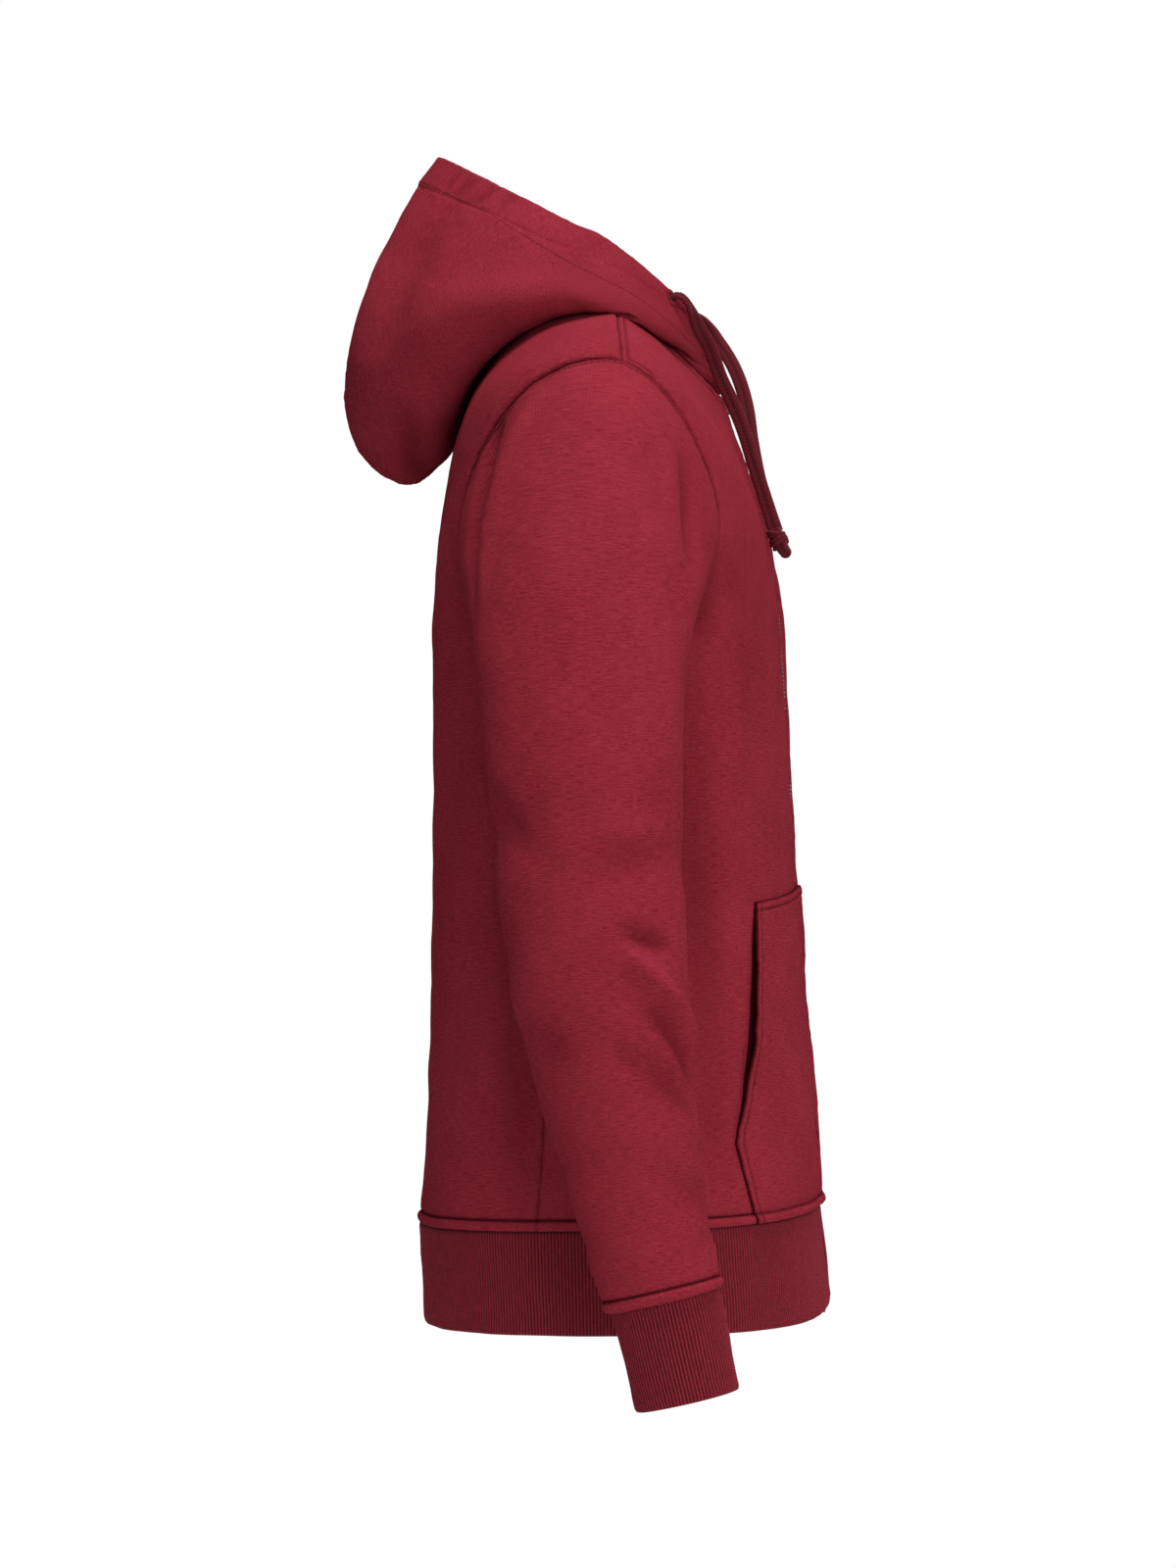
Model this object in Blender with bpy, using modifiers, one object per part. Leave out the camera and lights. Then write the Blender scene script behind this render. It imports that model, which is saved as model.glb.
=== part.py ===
"""Zip-up hooded sweatshirt, worn shape with nobody inside, and the hood down.

Metres, +Z up. The front faces -Y and the wearer's right side is at -X. The origin is in the
middle of the neck, level with the collar seam, where a wearer's shoulders carry the garment.
Tables and sizes are in millimetres; every mesh is scaled to metres as it is made.
"""

from collections import namedtuple

import bmesh
import bpy
import numpy as np
from mathutils import Matrix, Vector

MM = 0.001

# ---------------------------------------------------------------- driving sizes, in millimetres
FLEECE = 2.0  # wall of the body and sleeve cloth
HOOD_CLOTH = 3.0  # the hood is cut double
RIB_CLOTH = 2.2  # wall of the ribbed bands, without the raised ribs
SEAM_GAP = 0.3  # between pieces that are sewn together
RIB_RAISE = 0.45
RIB_PITCH_HEM = 3.3
RIB_PITCH_CUFF = 2.6
RIBS_PER_INNER_FACE = 5  # the band's plain inside has one face for so many ribs

ZIP_HALF = 2.7  # half the width of the closed row of teeth
ZIP_THICK = 1.8
TAPE_WIDTH = 13.0
TAPE_THICK = 0.8

RIDGE_TALL = 8.0  # the folded seam allowance above each ribbed band
RIDGE_RAISE = 1.9
RIDGE_FULL = 0.6  # the power of a half wave: less than 1 is fuller than one
RIDGE_ROWS = (1, 0.75, 0.3, 0)  # in shares of its height

CORD_THICK = 6.0
CORD_POINTS = 19
KNOT_LONG = 18.0
KNOT_WIDE = 14.0
KNOT_DEEP = 12.6
KNOT_GAP = 0.9  # its round end comes a little nearer the cord's flat one at the rim
EYELET_RADIUS = 4.6
EYELET_THREAD = 0.9
EYELET_SPAN = 4.0  # the cloth that it lies on is measured so far round it

SLOPE_STEP = 3.0  # the distance over which a slope is measured

CLOTH_RED = (0.27, 0.018, 0.035, 1.0)
RIB_RED = (0.22, 0.014, 0.028, 1.0)
CORD_RED = (0.24, 0.015, 0.03, 1.0)
TAPE_RED = (0.16, 0.012, 0.024, 1.0)
COIL_RED = (0.12, 0.01, 0.02, 1.0)
METAL_GREY = (0.62, 0.62, 0.64, 1.0)

# ---------------------------------------------------------------- tables
# A ring runs round the body. down: distance along the cloth from the collar seam. z_front,
# z_side and z_back: its height at three places. y_front, y_side and y_back: how far forward
# (minus) or back it reaches, and where it is widest. square: 2 is an ellipse, more is boxier.
# bow_front and bow_back: 1 makes its height fall straight from side to end, 2 rounds it.
Ring = namedtuple(
    "Ring", "name down z_front z_side z_back half_width y_front y_side y_back square bow_front bow_back")

TORSO = [
    Ring("neck", 0, -44, 8, 2, 86, -64, 0, 58, 2.0, 1.2, 2.0),
    Ring("collar", 28, -66, 4, -10, 114, -72, 1, 82, 2.0, 1.35, 2.0),
    Ring("yoke", 75, -100, -11, -38, 162, -83, 2, 104, 2.15, 1.7, 2.0),
    Ring("shoulder tip", 130, -136, -34, -78, 211, -95, 3, 119, 2.35, 2.0, 2.0),
    Ring("sleeve head", 185, -165, -95, -120, 215, -101, 4, 127, 2.45, 2.0, 2.0),
    Ring("mid armhole", 245, -192, -156, -165, 211, -105, 4, 132, 2.5, 2.0, 2.0),
    Ring("armpit", 305, -222, -215, -215, 204, -107, 4, 134, 2.5, 2.0, 2.0),
    Ring("chest", 385, -300, -297, -297, 199, -112, 4, 134, 2.5, 2.0, 2.0),
    Ring("waist", 500, -415, -412, -412, 190, -118, 4, 134.5, 2.45, 2.0, 2.0),
    Ring("hip", 615, -530, -530, -532, 186, -127, 3, 138, 2.4, 2.0, 2.0),
    Ring("hem seam", 692, -603, -608, -614, 184, -132, 3, 143, 2.4, 2.0, 2.0),
]
HEM = [
    Ring("hem seam", 0, -603, -608, -614, 184, -132, 3, 143, 2.4, 2.0, 2.0),
    Ring("hem edge", 74, -677, -680, -685, 181, -139, 2, 139, 2.4, 2.0, 2.0),
]
HOOD = [
    Ring("neck", 0, -44, 8, 2, 86, -64, 0, 58, 2.0, 1.2, 2.0),
    Ring("stand", 16, -40, 20, 19, 90, -62.5, 1, 64, 2.0, 1.2, 2.0),
    Ring("roll", 34, -36.5, 26, 31, 97, -61.5, 4, 77, 2.0, 1.2, 2.0),
    Ring("inner fall", 56, -33, 20, 22, 106, -60.5, 8, 94, 2.05, 1.2, 2.0),
    Ring("back fall", 92, -29, 11, -18, 113, -59.5, 11, 107, 2.1, 1.2, 2.1),
    Ring("under", 128, -25.5, 6, -55, 119, -58.5, 14, 117, 2.15, 1.2, 2.3),
    Ring("lobe in", 160, -22, 5, -88, 125, -57.5, 17, 129, 2.2, 1.2, 2.5),
    Ring("lobe foot", 192, -18.5, 6, -104, 131, -56.5, 22, 153, 2.2, 1.2, 2.5),
    Ring("lobe back", 228, -15, 11, -82, 136, -55.8, 28, 184, 2.2, 1.2, 2.2),
    Ring("lobe side", 262, -11.5, 17, -45, 137, -55.2, 32, 195, 2.2, 1.2, 1.9),
    Ring("outer", 305, -8, 25, 0, 134, -54.6, 33, 189, 2.2, 1.2, 1.6),
    Ring("shoulder of hood", 355, -4, 35, 52, 126, -54, 31, 170, 2.15, 1.25, 1.35),
    Ring("casing", 396, 0, 45, 94, 117, -53.4, 27, 148, 2.1, 1.3, 1.15),
    Ring("rim", 424, 3, 61, 121, 106, -53, 21, 129, 2.05, 1.3, 1.05),
]

HOOD_ROWS = (0, 6, 15, 26, 38, 56, 82, 112, 142, 164, 184, 204, 226, 252, 286, 328, 376, 424)
HOOD_SQUARE = 14.0  # so much of it stands square to the yoke, above the collar seam
HOOD_FOLDS_FROM = 40.0  # its folds fade out below this distance from the seam
HOOD_REST = 1.8  # clear of the shoulders that it lies on
HOOD_RESTS_OVER = 50.0  # past the square part, the distance over which it takes that clearance
BODY_REACH = 240.0  # the hood meets the body cloth no further down than this
HOOD_EDGE = 1.0  # from the middle of the front to each edge that meets there

# A section of the sleeve below the armhole, square to the sleeve's own line. half_out is
# half its size away from the body, and half_deep is half its size from front to back.
Section = namedtuple("Section", "name along x y z half_out half_deep")

SLEEVE = [
    Section("biceps", 0, -255, 11, -250, 48, 66),
    Section("upper arm", 63, -260, 9, -313, 50, 62),
    Section("above elbow", 126, -264, 5, -376, 50, 60),
    Section("elbow", 190, -268, -2, -439, 49, 56),
    Section("forearm", 254, -271, -12, -502, 46, 50),
    Section("lower arm", 318, -274, -25, -565, 41, 43),
    Section("wrist", 382, -276, -39.5, -628, 36.5, 38.5),
    Section("cuff seam", 398, -276.5, -43, -643, 35.5, 37),
]
SLEEVE_HEAD = 150.0  # from the armhole to the biceps, which the head counts as negative
SLEEVE_SETTLES = 30.0  # its wall has turned from the armhole's to its own so far down
SLEEVE_ROWS = (-150, -139, -123, -102, -78, -54, -27, 0, 45, 85, 115, 145, 180, 220, 265, 315, 360)
CUFF_TUCK = 0.35  # share of the ridge over which a sleeve draws in to its cuff
SLEEVE_LEAVES = (-0.64, 0.0, -0.48)  # its slope at the armhole, in shares of the head
CUFF = [
    Section("cuff seam", 0, -276.5, -44, -643, 30, 34.2),
    Section("cuff edge", 67, -277.5, -59.5, -708, 28, 32.5),
]

# The armhole on the torso: an oval in the plane of (angle round the body, distance down).
NECK_POINT_ANGLE = 90.0
SHOULDER_ANGLE = 81.0  # the shoulder seam drifts to the front
ARMPIT_ANGLE = 102.0
HEM_SIDE_ANGLE = 108.0  # the side seam drifts to the back
ARMHOLE_FRONT = 43.0  # how far the oval reaches to the front, in degrees
ARMHOLE_BACK = 42.0
ARMHOLE_TOP = 130.0
ARMHOLE_FOOT = 305.0
ARMHOLE_STEPS = 10  # faces from the shoulder tip to the armpit

# The edge of a kangaroo pocket half, from its top to the hem seam. gape: how far it stands off.
PocketEdge = namedtuple("PocketEdge", "name down angle gape")

POCKET = [
    PocketEdge("top corner", 468, 40.0, 0.0),
    PocketEdge("upper mouth", 500, 41.0, 5.0),
    PocketEdge("mid mouth", 566, 43.5, 7.5),
    PocketEdge("lower mouth", 602, 47.0, 4.0),
    PocketEdge("side corner", 634, 51.0, 0.0),
    PocketEdge("hem seam", 692, 47.0, 0.0),
]
POCKET_TOP_DROP = 10.0  # the top edge falls so far from the zip to its corner
POCKET_MOUTH_SHARE = 0.5  # how much of the width lifts with the mouth
POCKET_MOUTH_POWER = 1.5  # how late in that width it does so
POCKET_LINE_SHARE = 0.62  # above it, its line keeps within this share of a panel's width
POCKET_COLUMNS = 6
SIDE_COLUMNS = 5  # of a front, past the pocket
BACK_COLUMNS = 14

# The rows of faces down the body, apart from those beside the armhole and along the ridge.
YOKE_ROWS = (0, 12, 28, 50, 75, 102)
CHEST_ROWS = (345, 388, 430)
POCKET_ROWS = (POCKET[0].down, 500, 534, 568, 602, POCKET[4].down, 662)
ZIP_ROWS = (1, 12, 28, 50, 75, 102, 130, 160, 195, 235, 275, 305, 345, 390, 445, 500, 557, 615, 660,
            TORSO[-1].down)

# A soft fold is a ridge (depth above 0) or a trough. It runs between two places of the cloth,
# each an angle round the piece and a distance along it, and dies away at both.
Fold = namedtuple("Fold", "angle0 along0 angle1 along1 width depth")

FOLDS = {
    "torso": [
        Fold(118, 330, 150, 470, 24, -4.5),
        Fold(58, 300, 30, 390, 22, -3.5),
        Fold(100, 520, 140, 640, 28, 4.0),
        Fold(82, 400, 60, 540, 26, -3.5),
        Fold(160, 180, 172, 420, 30, -3.0),
    ],
    "hood": [
        Fold(150, 400, 118, 262, 26, 4.0),
        Fold(146, 300, 158, 180, 16, -6.0),
        Fold(96, 360, 70, 300, 16, -3.0),
        Fold(172, 390, 170, 270, 24, -3.5),
    ],
    "sleeve": [
        Fold(285, -120, 275, 10, 12, -5.0),
        Fold(75, 128, 350, 78, 18, -5.0),
        Fold(70, 170, 330, 138, 17, 4.5),
        Fold(300, 215, 40, 262, 18, -4.0),
        Fold(20, 320, 95, 345, 14, -3.0),
        Fold(60, 20, 20, 90, 20, 3.5),
    ],
}
FOLD_STEPS = 15
FOLD_END = 0.06  # where along a half wave a fold starts, and as far from the wave's end it stops
FOLD_FULL = 0.7  # the power of that wave

# Where each drawcord runs, from its eyelet to its knot.
Route = namedtuple("Route", "x y z")

CORD_RIGHT = [
    Route(-78.4, -36.1, 17.1),
    Route(-79.5, -38.6, 18.2),
    Route(-79.2, -42.4, 17.6),
    Route(-76, -45.8, 14.6),
    Route(-70.5, -48.2, 10.2),
    Route(-64, -50.4, 5),
    Route(-57, -53.6, -2),
    Route(-50.5, -58.2, -10.5),
    Route(-45, -63.8, -22),
    Route(-41, -70, -35),
    Route(-38, -76.5, -50),
    Route(-35.5, -83.5, -70),
    Route(-33.5, -90.2, -95),
    Route(-32, -97, -116),
    Route(-31, -103.5, -137),
]
CORD_LEFT = [
    Route(78.4, -36.1, 17.1),
    Route(79.5, -38.6, 18.2),
    Route(79.3, -42.6, 18),
    Route(76.3, -46.8, 15.8),
    Route(71, -51, 11.6),
    Route(64.8, -55.4, 5.8),
    Route(58.5, -60, -1.5),
    Route(52.5, -65, -10.5),
    Route(47, -70.6, -21.5),
    Route(42, -75.6, -35),
    Route(37.5, -80.2, -52),
    Route(33.5, -84.4, -74),
    Route(30, -90.4, -100),
    Route(28.2, -96.4, -119),
    Route(27, -102.5, -137),
]
EYELET_UP = 404.0  # along the hood's cloth from the collar seam
EYELET_ANGLE = 42.0

# The slider and its pull tab, in a frame on the teeth: across, up the zip, and out.
SLIDER_DOWN = 11.0
SLIDER_WIDE = 8.4
SLIDER_LONG = 11.0
SLIDER_THICK = 2.4
BAIL_LONG = 3.6  # from its middle to each foot
BAIL_TALL = 3.2
BAIL_WIRE = 0.6
BAIL_SUNK = 0.8  # its feet go so far into the plate
BAIL_STEPS = 12
PIVOT_OUT = 1.5
PIVOT_UP = 0.4
BAR_RADIUS = 0.7
TAB_LONG = 21.0
TAB_WIDE = 6.4
TAB_THICK = 1.2
TAB_SLOT_LONG = 5.0
TAB_SLOT_WIDE = 2.8
TAB_HOLE_UP = 3.2  # from the tab's free end to the middle of its hole
PLATE_BEVEL = 0.7
TAB_BEVEL = 0.35
SLOT_BEVEL = 0.3
HOLE_BEVEL = 0.9


# ---------------------------------------------------------------- smooth tables and surfaces
def column(rows, name):
    return np.array([getattr(row, name) for row in rows], float)


def spline(xs, ys, x):
    """A smooth curve through the points of a table, with slopes taken from the neighbours."""
    slopes = np.gradient(ys, xs)
    i = np.clip(np.searchsorted(xs, x, side="right") - 1, 0, len(xs) - 2)
    gap = xs[i + 1] - xs[i]
    t = (x - xs[i]) / gap
    return (
        ys[i] * (1 + 2 * t) * (1 - t) ** 2
        + ys[i + 1] * t * t * (3 - 2 * t)
        + gap * slopes[i] * t * (1 - t) ** 2
        - gap * slopes[i + 1] * t * t * (1 - t)
    )


def ring_surface(rows):
    """A function of (angle, distance) that gives points of the cloth that the rings describe."""
    key = column(rows, rows[0]._fields[1])

    def point(angle, down):
        angle, down = np.broadcast_arrays(np.asarray(angle, float), np.asarray(down, float))
        at = {name: spline(key, column(rows, name), down) for name in rows[0]._fields[2:]}
        sine, cosine = np.sin(np.radians(angle)), np.cos(np.radians(angle))
        square = at["square"]
        reach = (np.abs(sine) ** square + np.abs(cosine) ** square) ** (-1 / square)
        ahead = cosine > 0
        y_end = np.where(ahead, at["y_front"], at["y_back"])
        z_end = np.where(ahead, at["z_front"], at["z_back"])
        bow = np.where(ahead, at["bow_front"], at["bow_back"])
        x = -at["half_width"] * reach * sine
        y = at["y_side"] + (y_end - at["y_side"]) * reach * np.abs(cosine)
        z = at["z_side"] + (z_end - at["z_side"]) * np.abs(cosine) ** bow
        return np.stack([x, y, z], axis=-1)

    return point


def unit(vectors):
    return vectors / np.maximum(np.linalg.norm(vectors, axis=-1, keepdims=True), 1e-9)


def outward(surface, angle, down, step_angle=0.5, step_down=1.0):
    """The cloth's outward directions, from small steps along the surface."""
    across = surface(angle + step_angle, down) - surface(angle - step_angle, down)
    along = surface(angle, down + step_down) - surface(angle, down - step_down)
    return unit(np.cross(across, along))


def fold_lift(piece, surface, points, one_sided=False):
    """How far the folds of a piece push its points out. A body fold lies on both of its sides."""
    near = points if one_sided else points * np.where(points[..., :1] > 0, [-1, 1, 1], [1, 1, 1])
    lift = np.zeros(points.shape[:-1])
    run = np.linspace(0, 1, FOLD_STEPS)
    for fold in FOLDS[piece]:
        line = surface(
            fold.angle0 + (fold.angle1 - fold.angle0) * run,
            fold.along0 + (fold.along1 - fold.along0) * run,
        )
        away = np.linalg.norm(near[..., None, :] - line, axis=-1)
        wave = np.sin(np.pi * (FOLD_END + (1 - 2 * FOLD_END) * run)) ** FOLD_FULL
        swell = wave * np.exp(-((away / fold.width) ** 2))
        lift += fold.depth * swell.max(axis=-1)
    return lift


# ---------------------------------------------------------------- meshes
def material(name, colour, roughness=0.95, metallic=0.0):
    made = bpy.data.materials.new(name)
    made.use_nodes = True
    shader = made.node_tree.nodes["Principled BSDF"]
    shader.inputs["Base Color"].default_value = colour
    shader.inputs["Roughness"].default_value = roughness
    shader.inputs["Metallic"].default_value = metallic
    return made


def add_object(name, mesh, finish):
    """Links a mesh as one named part of the garment."""
    mesh.materials.append(finish)
    made = bpy.data.objects.new(name, mesh)
    GARMENT.objects.link(made)
    return made


def mesh_of(name, points, faces):
    """A mesh in metres from points in millimetres, with its faces turned outwards."""
    shape = bmesh.new()
    corners = [shape.verts.new(Vector(p) * MM) for p in points]
    for face in faces:
        shape.faces.new([corners[i] for i in face])
    bmesh.ops.recalc_face_normals(shape, faces=shape.faces)
    mesh = bpy.data.meshes.new(name)
    shape.to_mesh(mesh)
    shape.free()
    mesh.shade_smooth()
    mesh.set_sharp_from_angle(angle=np.radians(50))
    return mesh


def trim(outer, inner, edges, gap=SEAM_GAP):
    """Draws sewn edges back by half the seam gap. edges holds any of top, foot, start, end."""
    for name in edges.split():
        line, near = {"top": ((0, ...), (1, ...)), "foot": ((-1, ...), (-2, ...)),
                      "start": ((slice(None), 0), (slice(None), 1)),
                      "end": ((slice(None), -1), (slice(None), -2))}[name]
        back = unit(outer[near] + inner[near] - outer[line] - inner[line]) * gap / 2
        outer[line] += back
        inner[line] += back


def wall(name, outer, inner, finish, tube=False):
    """A wall of cloth between two grids of points. A tube's last column meets its first."""
    rows, columns = outer.shape[:2]
    points = np.concatenate([outer.reshape(-1, 3), inner.reshape(-1, 3)])
    behind = rows * columns
    steps = columns if tube else columns - 1
    faces = []
    for i in range(rows - 1):
        for j in range(steps):
            a, b = i * columns + j, i * columns + (j + 1) % columns
            faces.append((a, b, b + columns, a + columns))
            faces.append(tuple(behind + k for k in (a, a + columns, b + columns, b)))
    for i in (0, rows - 1):
        for j in range(steps):
            a, b = i * columns + j, i * columns + (j + 1) % columns
            faces.append((a, b, b + behind, a + behind))
    if not tube:
        for j in (0, columns - 1):
            for i in range(rows - 1):
                a, b = i * columns + j, (i + 1) * columns + j
                faces.append((a, b, b + behind, a + behind))
    return add_object(name, mesh_of(name, points, faces), finish)


def mirrored(points, side):
    """The same points on the wearer's right (side -1) or left (side 1)."""
    return points * np.array([-side, 1, 1])


# ---------------------------------------------------------------- the body panels
torso = ring_surface(TORSO)
hem_band = ring_surface(HEM)
hood = ring_surface(HOOD)


def armhole(turn):
    """The armhole seam as (angle, down). turn: 0 at the shoulder, 180 at the armpit, on to 360 behind."""
    sine, fall = np.sin(np.radians(turn)), (1 - np.cos(np.radians(turn))) / 2
    reach = np.where(sine > 0, ARMHOLE_FRONT, ARMHOLE_BACK)
    angle = SHOULDER_ANGLE + (ARMPIT_ANGLE - SHOULDER_ANGLE) * fall - reach * sine
    return angle, ARMHOLE_TOP + (ARMHOLE_FOOT - ARMHOLE_TOP) * fall


def body_rows():
    """Distances down the body panels, with the turn of the armhole at each, or None."""
    half = 180.0 * np.arange(ARMHOLE_STEPS + 1) / ARMHOLE_STEPS
    beside_sleeve = [(float(armhole(turn)[1]), turn) for turn in half]
    ridge = [TORSO[-1].down - RIDGE_TALL * share for share in RIDGE_ROWS]
    above = [(down, None) for down in YOKE_ROWS]
    below = [(down, None) for down in (*CHEST_ROWS, *POCKET_ROWS, *ridge)]
    return above + beside_sleeve + below


def ridge_raise(distance_up):
    """The rounded ridge that the folded seam allowance makes above a ribbed band."""
    share = np.clip(1 - distance_up / RIDGE_TALL, 0, 1)
    return RIDGE_RAISE * np.sin(np.pi * share) ** RIDGE_FULL


def side_edge(down, turn, face):
    """The angle of a body panel's outer edge: shoulder seam, armhole, then side seam."""
    if turn is not None:
        return float(armhole(turn if face == "front" else 360 - turn)[0])
    if down < ARMHOLE_TOP:
        return NECK_POINT_ANGLE + (SHOULDER_ANGLE - NECK_POINT_ANGLE) * down / ARMHOLE_TOP
    share = (down - ARMHOLE_FOOT) / (TORSO[-1].down - ARMHOLE_FOOT)
    return ARMPIT_ANGLE + (HEM_SIDE_ANGLE - ARMPIT_ANGLE) * share


def centre_front(down, rows=TORSO, half=ZIP_HALF + SEAM_GAP):
    """The angle at which a panel's front edge runs, beside the zip."""
    width = spline(column(rows, "down"), column(rows, "half_width"), np.asarray(down, float))
    return np.degrees(half / width)


def body_wall(angle, down, thick=FLEECE):
    """Outer and inner points of body cloth, with its folds and the ridge above the hem band."""
    middle = torso(angle, down)
    out = outward(torso, angle, down)
    middle = middle + out * fold_lift("torso", torso, middle)[..., None]
    raised = thick / 2 + ridge_raise(TORSO[-1].down - down)
    return middle + out * raised[..., None], middle - out * thick / 2


def front_grid():
    """Angles and distances of a front's points, some of which run down the edge of its pocket."""
    rows = body_rows()
    down = np.array([row[0] for row in rows])[:, None]
    edge = np.array([side_edge(*row, "front") for row in rows])[:, None]
    start = centre_front(down)
    pocket = np.interp(down, column(POCKET, "down"), column(POCKET, "angle"))
    pocket = np.minimum(pocket, edge * POCKET_LINE_SHARE)
    near, far = np.arange(POCKET_COLUMNS + 1), np.arange(1, SIDE_COLUMNS + 1)
    angle = np.concatenate([
        start + (pocket - start) * near / POCKET_COLUMNS,
        pocket + (edge - pocket) * far / SIDE_COLUMNS,
    ], axis=1)
    slope = np.concatenate([near / POCKET_COLUMNS, 1 - far / SIDE_COLUMNS])
    top, foot = POCKET[0].down, TORSO[-1].down
    fade = np.interp(down, (ARMHOLE_FOOT, top, foot), (0, 1, 0))
    return angle, down + POCKET_TOP_DROP * fade * slope


def make_fronts(finish):
    angle, down = front_grid()
    for side, word in ((-1, "right"), (1, "left")):
        outer, inner = body_wall(angle, down)
        trim(outer, inner, "top foot end")
        wall(f"front_{word}", mirrored(outer, side), mirrored(inner, side), finish)


def make_back(finish):
    rows = body_rows()
    down = np.array([row[0] for row in rows])[:, None]
    edge = np.array([side_edge(*row, "back") for row in rows])[:, None]
    share = np.linspace(0, 1, BACK_COLUMNS + 1)[None, :]
    angle = edge + (360 - 2 * edge) * share
    outer, inner = body_wall(angle, np.broadcast_to(down, angle.shape))
    trim(outer, inner, "top foot start end")
    wall("back", outer, inner, finish)


def make_pockets(finish):
    """Two halves of a kangaroo pocket, on the fronts, with mouths that stand a little open."""
    angle, down = front_grid()
    outer, inner = body_wall(angle, down)
    trim(outer, inner, "foot")
    first = [row[0] for row in body_rows()].index(POCKET[0].down)
    patch = (slice(first, None), slice(0, POCKET_COLUMNS + 1))
    out = unit(outer - inner)[patch]
    key = column(POCKET, "down")
    gape = np.interp(down[first:, 0], key, column(POCKET, "gape"))[:, None]
    share = np.linspace(0, 1, POCKET_COLUMNS + 1)
    near_mouth = np.clip((share - 1 + POCKET_MOUTH_SHARE) / POCKET_MOUTH_SHARE, 0, 1)
    near_mouth = near_mouth**POCKET_MOUTH_POWER
    back = outer[patch] + out * (SEAM_GAP + gape * near_mouth)[..., None]
    front = back + out * FLEECE
    for side, word in ((-1, "right"), (1, "left")):
        wall(f"pocket_{word}", mirrored(front, side), mirrored(back, side), finish)


# ---------------------------------------------------------------- the sleeves
def tube_frame(rows, along):
    """Centre, direction away from the body and direction to the front of a sleeve section."""
    key = column(rows, "along")

    def centre(at):
        return np.stack([spline(key, column(rows, axis), at) for axis in "xyz"], axis=-1)

    behind, ahead = (np.clip(along + step, key[0], key[-1]) for step in (-SLOPE_STEP, SLOPE_STEP))
    line = unit(centre(ahead) - centre(behind))
    front = unit(np.array([0, -1, 0]) + line * line[..., 1:2])
    return centre(along), unit(np.cross(line, front)), front


def tube_point(rows, turn, along):
    """Cloth of a sleeve or cuff. turn: 0 on the outside, 90 in front, 180 by the body."""
    turn, along = np.broadcast_arrays(np.asarray(turn, float), np.asarray(along, float))
    centre, out, front = tube_frame(rows, along)
    key = column(rows, "along")
    half_out = spline(key, column(rows, "half_out"), along)
    half_deep = spline(key, column(rows, "half_deep"), along)
    return (
        centre
        + out * (half_out * np.cos(np.radians(turn)))[..., None]
        + front * (half_deep * np.sin(np.radians(turn)))[..., None]
    )


def sleeve(turn, along):
    """Cloth of a sleeve. Below 0, along runs back from the biceps to the armhole seam."""
    turn, along = np.broadcast_arrays(np.asarray(turn, float), np.asarray(along, float))
    seam = torso(*armhole(turn % 360))
    end = tube_point(SLEEVE, turn, 0.0)
    span = np.linalg.norm(end - seam, axis=-1, keepdims=True)
    leave = np.array(SLEEVE_LEAVES) * span
    arrive = unit(tube_point(SLEEVE, turn, SLOPE_STEP) - end) * span
    t = np.clip(1 + along / SLEEVE_HEAD, 0, 1)[..., None]
    head = (
        seam * (1 + 2 * t) * (1 - t) ** 2
        + end * t * t * (3 - 2 * t)
        + leave * t * (1 - t) ** 2
        - arrive * t * t * (1 - t)
    )
    return np.where(along[..., None] < 0, head, tube_point(SLEEVE, turn, np.maximum(along, 0)))


def tube_normals(points):
    """Outward directions of a tube of points, rows from top to foot, columns front-wards."""
    along = np.gradient(points, axis=0)
    across = np.roll(points, -1, axis=1) - np.roll(points, 1, axis=1)
    return unit(np.cross(along, across))


def sleeve_wall(turn, along):
    """Outer and inner points of a right sleeve, which narrows to its cuff in its last rows."""
    points = sleeve(turn, along)
    foot = SLEEVE[-1].along
    cuff_top = tube_point(CUFF, turn[0], 0.0)
    narrow = np.clip(1 - (foot - along) / (RIDGE_TALL * CUFF_TUCK), 0, 1)[..., None]
    points += (cuff_top - points) * narrow
    out = tube_normals(points)
    seam_out = outward(torso, *armhole(turn[0]))
    square = np.clip((along + SLEEVE_HEAD) / SLEEVE_SETTLES, 0, 1)[..., None]
    out = unit(seam_out * (1 - square) + out * square)
    out[-1] = unit(cuff_top - cuff_top.mean(axis=0))
    points += out * fold_lift("sleeve", sleeve, points, one_sided=True)[..., None]
    raised = FLEECE / 2 + ridge_raise(foot - along)
    return points + out * raised[..., None], points - out * FLEECE / 2


def make_sleeves(finish):
    turn = (360.0 * np.arange(2 * ARMHOLE_STEPS) / (2 * ARMHOLE_STEPS))[None, :]
    ridge = SLEEVE[-1].along - RIDGE_TALL * np.array(RIDGE_ROWS)
    along = np.concatenate([SLEEVE_ROWS, ridge])[:, None]
    outer, inner = sleeve_wall(turn, along)
    trim(outer, inner, "top foot")
    for side, word in ((-1, "right"), (1, "left")):
        wall(f"sleeve_{word}", mirrored(outer, side), mirrored(inner, side), finish, tube=True)


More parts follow.
